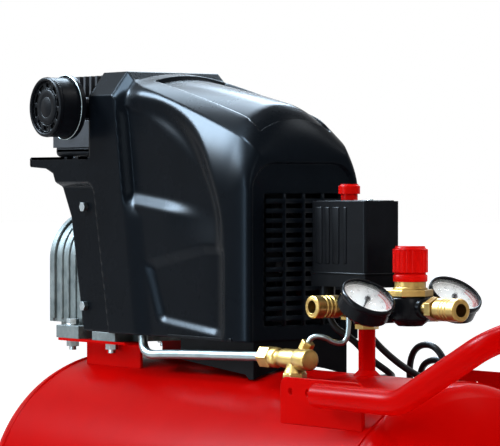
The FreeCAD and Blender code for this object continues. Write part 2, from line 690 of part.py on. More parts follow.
def build_handle():
    low, high = -P.handle_drop, P.handle_climb - P.handle_drop
    side = P.handle_y
    points = [spot(P.handle_start, -side, low), spot(P.handle_bend, -side, low),
              spot(P.handle_end, -side, high), spot(P.handle_end, side, high),
              spot(P.handle_bend, side, low), spot(P.handle_start, side, low)]
    corner, bend = P.handle_corner_r.value, P.handle_bend_r.value
    radius, wall = P.handle_r.value, P.handle_wall.value
    tube, path = swept("HandleTube", points, [bend, corner, corner, bend], radius, radius - wall)
    caps = [cylinder(f"HandleCap{n}", P.handle_r, P.tab_wall,
                     at(P.handle_start - P.tab_wall, y, low), "X") for n, y in enumerate((-side, side))]
    node(fuse("Handle", tube, *caps), "handle_tube")
    sleeve = cylinder("GripSleeve", P.grip_r, P.grip_half * 2, at(P.handle_end, -P.grip_half, high), "Y")
    bore = cylinder("GripBore", P.handle_r, P.grip_half * 2 + 2,
                    at(P.handle_end, -P.grip_half - 1, high), "Y")
    node(cut("HandleGrip", sleeve, bore), "handle_grip")


# ------------------------------------------------------------------ pump
def build_pump():
    shaft = P.shaft_rise
    half, wall = P.case_r, P.case_wall

    def case_outline(inset):
        """The crankcase seen along the shaft: round over the crank, straight below."""
        width = half - inset
        foot = z_at(P.case_floor) + (P.case_lip if inset else 0)
        centre = z_at(shaft)
        return [(-width, foot), (width, foot), (width, centre, width, -1), (0, centre + width, width, -1),
                (-width, centre)]

    def case_slice(name, inset, start, end):
        return padded(name, "YZ_Plane", case_outline(inset), end - start, (x_at((start + end) / 2), 0, 0))

    case = case_slice("CaseBlock", 0, P.case_rear, P.case_front)
    hollow = case_slice("CaseHollow", wall, P.case_rear - 1, P.case_front - wall - 2)
    deck = cylinder("CaseDeck", P.deck_r, P.case_top - shaft, at(P.pump_dx, 0, shaft))
    base = slab("CaseBase", (P.foot_bolt_rear - P.lug_half / 2, -P.saddle_y, P.saddle_rise),
                (P.base_front, P.saddle_y, P.saddle_rise + P.base_wall))
    plinth = slab("CasePlinth", (P.case_rear + 8, -half + 4, P.saddle_rise + 2),
                  (P.case_front, half - 4, P.case_floor + 2))
    lugs = []
    for side, tag in ((-1, "Right"), (1, "Left")):
        low = -P.saddle_out if side < 0 else P.saddle_y - 4
        for name, dx, rise in (("Rear", P.foot_bolt_rear + 6, P.lug_rear_rise),
                               ("Front", P.foot_bolt_front, P.lug_rise)):
            lugs.append(slab(f"Lug{name}{tag}", (dx - P.lug_half, low, P.saddle_rise),
                             (dx + P.lug_half, low + (P.saddle_out - P.saddle_y + 4), P.saddle_rise + rise)))
    boss = cylinder("BearingBoss", P.bearing_r + wall, P.bearing_width + 2,
                    at(P.case_front - P.bearing_width - 2, 0, shaft), "X")
    shell = cut("CaseShell", fuse("CaseSolid", case, deck), hollow)
    blank = fuse("CaseBlank", shell, base, plinth, boss, *lugs)
    seat_hole = cylinder("BearingSeat", P.bearing_r, P.bearing_width * 2,
                         at(P.case_front - P.bearing_width, 0, shaft), "X")
    shaft_hole = cylinder("CaseShaftHole", P.shaft_r + 3, P.bearing_width * 3,
                          at(P.case_front - P.bearing_width * 2, 0, shaft), "X")
    spigot = cylinder("SpigotHole", P.bore_r + P.barrel_wall, P.case_top,
                      at(P.pump_dx, 0, shaft + P.crank_r - wall))
    bolts = [cylinder(f"LugHole{n}{tag}", P.foot_bolt_r + P.foot_bolt_play, P.base_wall * 2,
                      at(dx, side * P.foot_bolt_y, P.saddle_rise - 1))
             for side, tag in ((-1, "Right"), (1, "Left"))
             for n, dx in enumerate((P.foot_bolt_rear, P.foot_bolt_front))]
    node(cut("Crankcase", blank, seat_hole, shaft_hole, spigot, *bolts), "crankcase")
    gasket = case_slice("GasketSheet", 0, P.case_rear - P.gasket, P.case_rear)
    gasket_hole = case_slice("GasketHole", wall, P.case_rear - P.gasket * 2, P.case_rear + P.gasket)
    node(cut("CrankcaseGasket", gasket, gasket_hole), "crankcase_gasket")
    cover_rear = P.case_rear - P.gasket - P.cover
    plate = case_slice("CoverPlate", 0, cover_rear, P.case_rear - P.gasket)
    dish = cone("CoverDish", P.cover_dish_r, P.cover_dish_r - P.cover_dish, P.cover_dish,
                at(cover_rear, 0, shaft), "X")
    node(cut("CrankcaseCover", plate, dish), "crankcase_cover")

    # foot bolts through the lugs and the saddle, with their nuts below
    bolts = []
    for side, tag in ((-1, "Right"), (1, "Left")):
        for name, dx, rise in (("Rear", P.foot_bolt_rear, P.lug_rear_rise),
                               ("Front", P.foot_bolt_front, P.lug_rise)):
            y, top, under = side * P.foot_bolt_y, P.saddle_rise + rise, P.saddle_rise - P.saddle_sheet
            key = f"{name}{tag}"
            shank = cylinder(f"FootShank{key}", P.foot_bolt_r, top - under + P.foot_nut + P.foot_tail + 1,
                             at(dx, y, under - P.foot_nut - P.foot_tail))
            washer = cylinder(f"FootWasher{key}", P.foot_washer_r, P.foot_washer, at(dx, y, top))
            head = hexagon(f"FootHead{key}", P.foot_head_r, P.foot_head, at(dx, y, top + P.foot_washer))
            nut = hexagon(f"FootNut{key}", P.foot_head_r, P.foot_nut, at(dx, y, under - P.foot_nut))
            bolts.append(fuse(f"FootBolt{key}", shank, washer, head, nut))
    node(group("FootBolts", *bolts), "foot_bolts")

    # cylinder: a finned barrel that seats in the deck
    barrel, fin = P.bore_r + P.barrel_wall, P.fin
    deck_face = P.case_top
    skin = [(P.bore_r, z_at(deck_face - 12)), (barrel, z_at(deck_face - 12)), (barrel, z_at(deck_face)),
            (P.deck_r, z_at(deck_face)), (P.deck_r, z_at(deck_face) + 4), (barrel + 2, z_at(deck_face) + 4)]
    for index in range(count(P.fin_count)):
        rise = z_at(P.fin_first + P.fin_pitch * index)
        skin += [(barrel + 2, rise), (P.fin_r, rise), (P.fin_r, rise + fin), (barrel + 2, rise + fin)]
    top = z_at(P.barrel_top)
    skin += [(barrel + 2, top - P.top_fin), (P.fin_r, top - P.top_fin), (P.fin_r, top), (P.bore_r, top)]
    node(turned("Cylinder", skin, (x_at(P.pump_dx), 0, 0)), "cylinder")

    # head: a block under upright fins, with a boss for the filter's neck
    top, foot = P.head_top, P.barrel_top
    block = slab("HeadBlock", (P.pump_dx - P.head_half_x, -P.head_half_y, foot),
                 (P.pump_dx + P.head_half_x, P.head_half_y, foot + P.head_base))
    fins = []
    for index in range(count(P.head_fin_count)):
        dx = P.pump_dx + P.head_fin_pitch * (index - (count(P.head_fin_count) - 1) / 2)
        fins.append(slab(f"HeadFin{index}", (dx - P.head_fin / 2, -P.head_half_y, foot + P.head_base - 1),
                         (dx + P.head_fin / 2, P.head_half_y, top)))
    inlet = cylinder("InletBoss", P.filter_neck_r + 4, P.head_half_y,
                     at(P.filter_dx - 6, 0, P.filter_rise), "-Y")
    outlet = cylinder("OutletBoss", P.tube_r + 5, 10, at(P.pump_dx + P.head_half_x - 4, -P.tube_port_y,
                                                         P.tube_port_rise), "X")
    inlet_bore = cylinder("InletBore", P.neck_bore, P.head_half_y,
                          at(P.filter_dx - 6, -8, P.filter_rise), "-Y")
    head = fuse("HeadBlank", block, inlet, outlet, *fins)
    node(cut("CylinderHead", head, inlet_bore), "cylinder_head")

    # piston and connecting rod at the top of the stroke
    pin_rise = shaft + P.stroke / 2
    wrist = pin_rise + P.rod_len
    radius = P.bore_r - P.piston_play
    crown = P.barrel_top - P.piston_gap
    groove = 1.6
    outer = [(radius, z_at(crown - P.piston_len))]
    for drop in (12, 7):
        outer += [(radius, z_at(crown - drop)), (radius - groove, z_at(crown - drop)),
                  (radius - groove, z_at(crown - drop) + 2), (radius, z_at(crown - drop) + 2)]
    outer += [(radius, z_at(crown)), (0, z_at(crown)), (0, z_at(crown - P.piston_crown)),
              (radius - 4, z_at(crown - P.piston_crown)), (radius - 4, z_at(crown - P.piston_len))]
    piston = turned("PistonSkin", outer, (x_at(P.pump_dx), 0, 0))
    pin = cylinder("WristPin", P.pin_r, (radius - 2) * 2, at(P.pump_dx - radius + 2, 0, wrist), "X")
    node(fuse("Piston", piston, pin), "piston")
    thick = P.rod_thick / 2
    small = cylinder("RodSmallEnd", P.small_end_r, P.big_end_half * 2,
                     at(P.pump_dx - P.big_end_half, 0, wrist), "X")
    big = cylinder("RodBigEnd", P.big_end_r, P.big_end_half * 2,
                   at(P.pump_dx - P.big_end_half, 0, pin_rise), "X")
    shank = slab("RodShank", (P.pump_dx - thick, -P.rod_width / 2, pin_rise),
                 (P.pump_dx + thick, P.rod_width / 2, wrist))
    wrist_bore = cylinder("RodWristBore", P.pin_r, P.big_end_half * 4,
                          at(P.pump_dx - P.big_end_half * 2, 0, wrist), "X")
    rod = cut("RodBlank", fuse("RodSolid", small, big, shank), wrist_bore)
    crank_pin = cylinder("CrankPin", P.crank_pin_r, P.big_end_half * 2 + 4,
                         at(P.pump_dx - P.big_end_half - 4, 0, pin_rise), "X")
    node(fuse("ConRod", rod, crank_pin), "con_rod")


# ------------------------------------------------------------------ motor
def build_motor():
    shaft = P.shaft_rise
    disc_face = P.pump_dx + P.big_end_half + P.crank_gap
    disc = cylinder("CrankDisc", P.crank_r, P.crank_thick, at(disc_face, 0, shaft), "X")
    relief = slab("CrankRelief", (disc_face - 1, -P.crank_r, shaft + P.crank_flat),
                  (disc_face + P.crank_thick + 1, P.crank_r, shaft + P.crank_r + 1))
    bar = cylinder("ShaftBar", P.shaft_r, P.shaft_end - disc_face, at(disc_face, 0, shaft), "X")
    node(cut("MotorShaft", fuse("ShaftBlank", disc, bar), relief), "motor_shaft")

    def ring(name, outer, inner, start, end):
        body = cylinder(f"{name}Body", outer, end - start, at(start, 0, shaft), "X")
        hole = cylinder(f"{name}Hole", inner, end - start + 2, at(start - 1, 0, shaft), "X")
        return cut(name, body, hole)

    node(ring("Rotor", P.stator_bore - P.rotor_gap, P.shaft_r, P.stator_rear, P.stator_front), "rotor")
    node(ring("Stator", P.stator_r, P.stator_bore, P.stator_rear, P.stator_front), "stator")
    coils = [ring(f"Coil{n}", P.coil_out, P.coil_in, start, start + P.coil_len)
             for n, start in enumerate((P.stator_rear - P.coil_len, P.stator_front))]
    node(group("Windings", *coils), "windings")
    play = P.axle_play
    plate_rear = P.shield_front - P.shield_plate
    races = [ring(f"Bearing{n}", P.bearing_r, P.shaft_r + play, start, start + P.bearing_width)
             for n, start in enumerate((P.case_front - P.bearing_width, plate_rear))]
    node(group("Bearings", *races), "bearings")

    # end shields: cups that clamp the stator, the front one with a bearing
    inner = P.shield_r - P.shield_wall
    front = fuse("FrontShieldBlank", ring("FrontCup", P.shield_r, inner, P.stator_front, P.shield_front),
                 ring("FrontPlate", P.shield_r - 1, P.bearing_r, plate_rear, P.shield_front),
                 ring("FrontBoss", P.bearing_r + 6, P.bearing_r, plate_rear, plate_rear + P.bearing_width))
    vents = []
    for index in range(count(P.shield_vents)):
        angle = math.tau * (index + 0.5) / count(P.shield_vents)
        vents.append(cylinder(f"ShieldVent{index}", P.vent_r, P.shield_plate * 2,
                              at(plate_rear - 3, P.vent_ring_r * math.cos(angle),
                                 shaft + P.vent_ring_r * math.sin(angle)), "X"))
    lead = cylinder("LeadBoss", P.cord_r + 4, P.lead_boss, at(P.lead_dx, P.lead_y, P.lead_rise))
    lead_trim = cylinder("LeadTrim", inner, P.shield_front - P.stator_front,
                         at(P.stator_front, 0, shaft), "X")
    front_shield = fuse("FrontShield", cut("FrontVented", front, *vents), cut("LeadSocket", lead, lead_trim))
    rear_cup = ring("RearCup", P.shield_r, inner, P.case_front, P.stator_rear)
    rear_plate = ring("RearPlate", P.shield_r - 1, P.bearing_r, P.case_front, P.case_front + P.shield_plate)
    lugs = []
    reach = P.shroud_half - P.flange_depth - P.shroud_wall
    half = P.shroud_bolt_head_r + 2
    for index, rise in enumerate((P.shroud_bolt_low, P.shroud_bolt_high)):
        lugs.append(slab(f"ShroudLug{index}", (P.shroud_bolt_dx - half, -reach, rise - half),
                         (P.shroud_bolt_dx + half, reach, rise + half)))
    hollow = cylinder("RearHollow", inner, P.stator_rear - P.case_front - P.shield_plate,
                      at(P.case_front + P.shield_plate, 0, shaft), "X")
    taps = [cylinder(f"ShroudTap{n}{index}", P.shroud_bolt_r, P.shroud_bolt_len,
                     at(P.shroud_bolt_dx, side * reach, rise), "-Y" if side > 0 else "Y")
            for n, side in enumerate((-1, 1))
            for index, rise in enumerate((P.shroud_bolt_low, P.shroud_bolt_high))]
    rear_shield = cut("RearShield", fuse("RearShieldBlank", rear_cup, rear_plate, *lugs), hollow, *taps)
    node(group("MotorShields", front_shield, rear_shield), "motor_shields")

    # cooling fan: straight radial blades on a hub
    start = P.fan_dx - P.fan_len / 2
    hub = cylinder("FanHub", P.fan_hub_r, P.fan_len, at(start, 0, shaft), "X")
    plate = cylinder("FanPlate", P.fan_r - 6, P.fan_blade, at(start, 0, shaft), "X")
    blades = []
    for index in range(count(P.fan_blades)):
        blade = primitive("Box", f"FanBlade{index}", at(start, 0, shaft),
                          Rotation(Vector(1, 0, 0), 360 * index / count(P.fan_blades)),
                          Length=P.fan_len, Width=P.fan_blade, Height=P.fan_r)
        blades.append(blade)
    fan_bore = cylinder("FanBore", P.shaft_r, P.fan_len + 2, at(start - 1, 0, shaft), "X")
    node(cut("CoolingFan", fuse("FanBlank", hub, plate, *blades), fan_bore), "cooling_fan")


# ------------------------------------------------------------------ shroud
def build_shroud():
    wall = P.shroud_wall

    front_x, rear_x = P.shroud_front, P.roof_rear
    fall = P.roof_rear_rise - P.roof_front_rise
    chord = root((front_x - rear_x) * (front_x - rear_x) + fall * fall)
    depth = root(P.roof_r * P.roof_r - chord * chord / 4) / chord
    roof_centre = ((front_x + rear_x) / 2 - fall * depth,
                   (P.roof_front_rise + P.roof_rear_rise) / 2 - (front_x - rear_x) * depth)

    def roof_form(name, inset):
        """The body under the bowed roof, with a round nose and a crease along each side."""
        front = P.shroud_front - inset
        foot = P.shroud_foot - 40 if inset else P.shroud_foot
        ledge = P.ledge_top - inset
        if inset:
            rear = [(P.ledge_tip + inset, ledge), (P.ledge_tip + inset, foot)]
        else:
            rear = [(P.ledge_tip, ledge), (P.ledge_tip, P.ledge_under),
                    (P.ledge_neck, P.ledge_neck_rise), (P.shroud_rear_mid, P.shroud_mid_rise),
                    (P.shroud_rear, foot)]
        side = side_plate(f"{name}Side", [
            (front, foot), (front, P.lip_rise, P.nose_r, -1), (P.nose_rear, P.nose_rise - inset),
            (rear_x, P.roof_rear_top - inset), (rear_x, ledge), *rear],
            (P.shroud_half - inset) * 2)
        edge = P.roof_r - inset
        crease, rim = P.roof_crease - inset / 2, P.shroud_half - inset
        low = P.roof_r - P.roof_drop - inset / 3
        disc = turned(f"{name}Disc", [
            (0, -rim), (low, -rim), (edge, -crease, P.roof_bow_r, -1), (edge, crease), (low, rim),
            (0, rim)], (x_at(roof_centre[0]), 0, z_at(roof_centre[1])), "Y")
        return common(f"{name}Roof", side, disc)

    def band_form(name, inset):
        """The raised band across the shroud, with its long edges bevelled."""
        top, foot = P.band_top - inset, P.shroud_foot - inset * 10
        side = side_plate(f"{name}BandSide", [
            (P.band_rear + inset, foot), (rear_x + inset * 0.1, foot),
            (rear_x + inset * 0.1, P.roof_rear_rise - inset), (P.band_front - inset / 2, top),
            (P.band_rear + inset, top)], (P.shroud_half - inset) * 2)
        crease, rim = P.roof_crease - inset / 2, P.shroud_half - inset
        low = z_at(P.band_top - P.roof_drop - inset / 3)
        prism = padded(f"{name}BandPrism", "YZ_Plane", [
            (-rim, z_at(foot)), (rim, z_at(foot)), (rim, low), (crease, z_at(top)), (-crease, z_at(top)),
            (-rim, low)], 200, (x_at(P.band_rear), 0, 0))
        return common(f"{name}Band", side, prism)

    def plan(name, inset):
        """The shroud seen from above, with its round front pillars."""
        half, round_ = P.shroud_half - inset, P.pillar_r - inset
        front = P.shroud_front - inset
        points = [(x_at(P.ledge_tip) - 10, -half), (x_at(front) - round_, -half, round_, -1),
                  (x_at(front), -half + round_), (x_at(front), half - round_, round_, -1),
                  (x_at(front) - round_, half), (x_at(P.ledge_tip) - 10, half)]
        return padded(name, "XY_Plane", points, 800, (0, 0, z_at(P.shroud_foot)))

    outer = common("ShroudForm", fuse("ShroudBlank", roof_form("Form", 0), band_form("Form", 0)),
                   plan("ShroudPlan", 0))
    inner = common("ShroudCore", fuse("ShroudCoreBlank", roof_form("Core", wall), band_form("Core", wall)),
                   plan("ShroudCorePlan", wall))

    # pressed panels: each is let into the side by the depth of its tool, on a pad of wall
    def panel_points(grow):
        return [(P.panel_rear - grow, P.panel_top_rear + grow),
                (P.panel_rear + 4 - grow, P.panel_low - grow),
                (P.panel_tip - 54, P.panel_low - 15 - grow),
                (P.panel_tip + grow, P.panel_tip_rise - grow, P.panel_arch_r + grow, -1),
                (P.panel_tip - 36 + grow, P.panel_tip_rise + 88 + grow, P.panel_brow_r, -1)]

    def vent_points(grow):
        return [(P.vent_rear - grow, P.vent_rear_rise + grow), (P.vent_foot_rear - grow, 44 - grow),
                (P.vent_front + grow, 38 - grow), (P.vent_front - 2 + grow, P.vent_top + grow),
                (P.vent_mid, P.vent_top + grow)]

    def flange_points(grow):
        return [(P.ledge_neck - 20, P.shroud_foot - 9), (P.flange_foot_front + grow, P.shroud_foot - 9),
                (P.flange_top_front + grow, P.flange_top + grow),
                (P.ledge_neck - 20, P.flange_top + grow)]

    def pressing(name, points, low, high):
        """Both sides of the shroud at once, between two distances from its middle."""
        both = side_plate(f"{name}Slab", points, high * 2)
        rear, front, top = P.ledge_tip * 1.5, P.shroud_front * 2, P.band_top * 1.5
        middle = side_plate(f"{name}Middle", [(rear, -top), (front, -top), (front, top), (rear, top)],
                            low * 2)
        return cut(name, both, middle)

    outlines = {"Panel": (panel_points, P.recess), "Vent": (vent_points, P.recess),
                "Flange": (flange_points, P.flange_depth)}
    backs, tools = [], []
    for name, (points, depth) in outlines.items():
        floor = P.shroud_half - depth
        backs.append(pressing(f"{name}Back", points(wall), floor - wall, P.shroud_half - wall / 2))
        tools.append(pressing(f"{name}Press", points(0), floor, P.shroud_half + 10))
    shell = cut("ShroudShell", outer, inner)

    # the front is let in behind an arch, which leaves a lip under the nose
    face = P.shroud_front - P.arch_inset

    def arch(name, grow, start, end):
        """An arch as tall as the front, between two stations."""
        half, top, round_ = P.arch_half + grow, z_at(P.arch_top + grow), P.arch_r + grow
        foot = z_at(P.shroud_foot - grow)
        form = padded(f"{name}Pair", "YZ_Plane", [
            (-half, foot), (half, foot), (half, top - round_, round_, -1), (half - round_, top),
            (-half + round_, top, round_, -1), (-half, top - round_)], (end - start) * 2, (x_at(start), 0, 0))
        span_ = slab(f"{name}Span", (start, -P.shroud_half, 0), (end, P.shroud_half, P.band_top))
        return common(name, form, span_)

    backs.append(arch("FrontBack", wall, face - wall, P.shroud_front))
    tools.append(arch("FrontPress", 0, face, P.shroud_front + wall))
    lined = common("ShroudLined", fuse("ShroudFull", shell, *backs), outer)

    # grille: a window in the front, with blades across it and bars between its columns
    columns, blades = count(P.slot_columns), count(P.slot_rows) - 1
    width = P.slot_width * columns + P.slot_bar * (columns - 1)
    low, high = P.slot_low, P.slot_low + P.slot_pitch * blades + P.slot_height
    window = slab("GrilleWindow", (face - wall - 1, -width / 2, low),
                  (face + 1, width / 2, high))
    rows = []
    for row in range(blades):
        rise = low + P.slot_height + P.slot_pitch * row
        rows.append(slab(f"GrilleBlade{row}", (face - wall, -width / 2, rise),
                         (face, width / 2, rise + (P.slot_pitch - P.slot_height))))
    for bar in range(columns - 1):
        y = -width / 2 + P.slot_width * (bar + 1) + P.slot_bar * bar
        rows.append(slab(f"GrilleBar{bar}", (face - wall, y, low),
                         (face, y + P.slot_bar, high)))
    barrel_hole = cylinder("LedgeHole", P.fin_r + 2.5, 30, at(P.pump_dx, 0, P.ledge_top - 20))
    duct = slab("HeadDuct", (P.band_rear - 5, -P.head_half_y, P.ledge_top + 6),
                (P.band_rear + wall + 5, P.head_half_y, P.band_top - 24))
    bolt_holes = [cylinder(f"ShroudHole{index}", P.shroud_bolt_r + 0.3, P.shroud_half * 2 + 20,
                           at(P.shroud_bolt_dx, -P.shroud_half - 10, rise), "Y")
                  for index, rise in enumerate((P.shroud_bolt_low, P.shroud_bolt_high))]
    opened = cut("ShroudOpened", lined, window, barrel_hole, duct, *tools, *bolt_holes)
    node(fuse("Shroud", opened, *rows), "shroud")

    heads = []
    floor = P.shroud_half - P.flange_depth
    for side, tag in ((-1, "Right"), (1, "Left")):
        for index, rise in enumerate((P.shroud_bolt_low, P.shroud_bolt_high)):
            head = hexagon(f"ShroudBoltHead{tag}{index}", P.shroud_bolt_head_r, P.shroud_bolt_head,
                           at(P.shroud_bolt_dx, side * floor, rise), "Y" if side > 0 else "-Y")
            shank = cylinder(f"ShroudBoltShank{tag}{index}", P.shroud_bolt_r,
                             P.shroud_bolt_len + wall,
                             at(P.shroud_bolt_dx, side * floor, rise), "-Y" if side > 0 else "Y")
            heads.append(fuse(f"ShroudBolt{tag}{index}", head, shank))
    node(group("ShroudBolts", *heads), "shroud_bolts")

    # lower shroud: a deck between the side walls and a skirt down to the tank
    deck_top, nose_end = P.shroud_foot + wall, face - wall
    deck = slab("LowerDeck", (P.skirt_rear, -P.shroud_half + wall, P.shroud_foot),
                (P.shroud_front - P.pillar_r, P.shroud_half - wall, deck_top))
    nose = slab("LowerNose", (P.skirt_rear, -P.skirt_half + 4, P.shroud_foot),
                (nose_end, P.skirt_half - 4, deck_top))
    skirt = side_plate("SkirtForm", [
        (P.skirt_rear, 6), (nose_end - 14, -4), (nose_end, -14),
        (nose_end, deck_top), (P.skirt_rear, deck_top)], P.skirt_half * 2)
    hollow = side_plate("SkirtHollow", [
        (P.skirt_rear - 5, -30), (nose_end - wall, -30), (nose_end - wall, P.shroud_foot),
        (P.skirt_rear - 5, P.shroud_foot)], P.skirt_half * 2 - wall * 2)
    intake = cylinder("LowerIntake", P.skirt_half - 12, wall * 3,
                      at(P.skirt_rear / 2, 0, P.shroud_foot - wall))
    blank = fuse("LowerBlank", deck, nose, cut("SkirtShell", skirt, hollow))
    tray = common("LowerTray", blank, plan("TrayPlan", wall))
    node(cut("LowerShroud", tray, tank_form("SkirtClearance", P.skirt_gap), intake), "lower_shroud")


# ------------------------------------------------------------------ air filter
def build_filter():
    dx, rise = P.filter_dx, P.filter_rise
    face = P.head_half_y

    def can(name, radius, start, end):
        return cylinder(name, radius, end - start, at(dx, -start, rise), "-Y")

    body = fuse("FilterBlank", can("FilterNeck", P.filter_neck_r, face, P.filter_back),
                can("FilterRing", P.filter_ring_r, P.filter_back, P.filter_back + P.filter_ring),
                can("FilterCan", P.filter_can_r, P.filter_back, P.filter_front - P.filter_cap))
    hollow = can("FilterHollow", P.filter_can_r - P.filter_wall, P.filter_back + P.filter_wall,
                 P.filter_front)
    bore = can("FilterBore", P.neck_bore, face - 1, P.filter_back + 5)
    node(cut("FilterBody", body, hollow, bore), "filter_body")
    rim, front = P.filter_can_r, P.filter_front
    cap = can("FilterCap", rim, front - P.filter_cap, front)
    dish = can("FilterDish", rim - 4, front - P.filter_face + 1, front + 1)
    holes = []
    for index in range(count(P.filter_holes)):
        angle = math.tau * index / count(P.filter_holes)
        holes.append(cylinder(f"FilterHole{index}", P.filter_hole_r, P.filter_cap * 3,
                              at(dx + P.filter_hole_ring * math.cos(angle), -front + P.filter_cap * 2,
                                 rise + P.filter_hole_ring * math.sin(angle)), "-Y"))
    node(cut("FilterCover", cap, dish, *holes), "filter_cover")
    gap = P.foam_gap
    foam = can("FoamBlock", P.filter_can_r - P.filter_wall - gap, P.filter_back + P.filter_wall + gap,
               P.filter_front - P.filter_cap - gap)
    node(foam, "filter_foam")


# ------------------------------------------------------------------ air line to the tank
def build_air_line():
    y, rise = P.valve_y.value, P.valve_rise.value
    port_dx = P.pump_dx + P.head_half_x + 6
    points = [spot(port_dx, -P.tube_port_y, P.tube_port_rise),
              spot(port_dx + 26, -P.tube_port_y, P.tube_port_rise),
              spot(P.tube_drop_dx, -y, P.tube_port_rise), spot(P.tube_drop_dx, -y, rise - 8),
              spot(P.valve_nut_dx, -y, rise)]
    tube, path = swept("DischargeTube", points, [24, 22, P.tube_bend_r.value], P.tube_r.value,
                       (P.tube_r - P.tube_wall).value)
    node(tube, "discharge_tube")
    stem = P.valve_stem_dx

    def lying(shape, name, radius, start, end):
        """A piece of the valve along its own axis, between two stations."""
        return shape(name, radius, end - start, at(start, -P.valve_y, P.valve_rise), "X")

    nut_end = P.valve_nut_dx + P.valve_nut_len
    nut = lying(hexagon, "ValveNut", P.valve_nut_r, P.valve_nut_dx, nut_end)
    neck = lying(cylinder, "ValveNeck", P.valve_body_r - 1, nut_end - 1, nut_end + 13)
    barrel = lying(cylinder, "ValveBarrel", P.valve_body_r, nut_end + 10, P.valve_end)
    plug = lying(cylinder, "ValvePlug", P.valve_plug_r, P.valve_end, P.valve_end + P.valve_plug_len)
    foot = hexagon("ValveFoot", P.valve_hex_r, 8, at(stem, -P.valve_y, P.valve_boss_top))
    riser = cylinder("ValveStem", P.valve_stem_r, P.valve_rise - P.valve_boss_top,
                     at(stem, -P.valve_y, P.valve_boss_top))
    side_nut = hexagon("UnloadNut", P.unload_nut_r, P.unload_nut_len,
                       at(stem + 8, -P.valve_y + P.valve_body_r - 3, P.valve_rise + P.valve_body_r - 2))
    side_stem = cylinder("UnloadStem", P.unload_nut_r - 2, P.valve_body_r,
                         at(stem + 8, -P.valve_y + P.valve_body_r - 3, P.valve_rise))
    bore = cylinder("ValveBore", P.tube_r, 12, at(P.valve_nut_dx - 1, -P.valve_y, P.valve_rise), "X")
    node(cut("CheckValve", fuse("ValveBlank", nut, neck, barrel, plug, foot, riser, side_nut, side_stem),
             bore), "check_valve")
    start = P.valve_rise + P.valve_body_r - 2 + P.unload_nut_len
    side = -P.valve_y + P.valve_body_r - 3
    points = [spot(stem + 8, side, start), spot(stem + 8, side, start + 12),
              spot(stem + 26, side + 8, start + 12), spot(stem + 50, -14, start + 6),
              spot(stem + 50, -14, P.switch_foot)]
    line, path = swept("UnloaderTube", points, [6, 12, 9], P.unload_r.value)
    node(line, "unloader_tube")


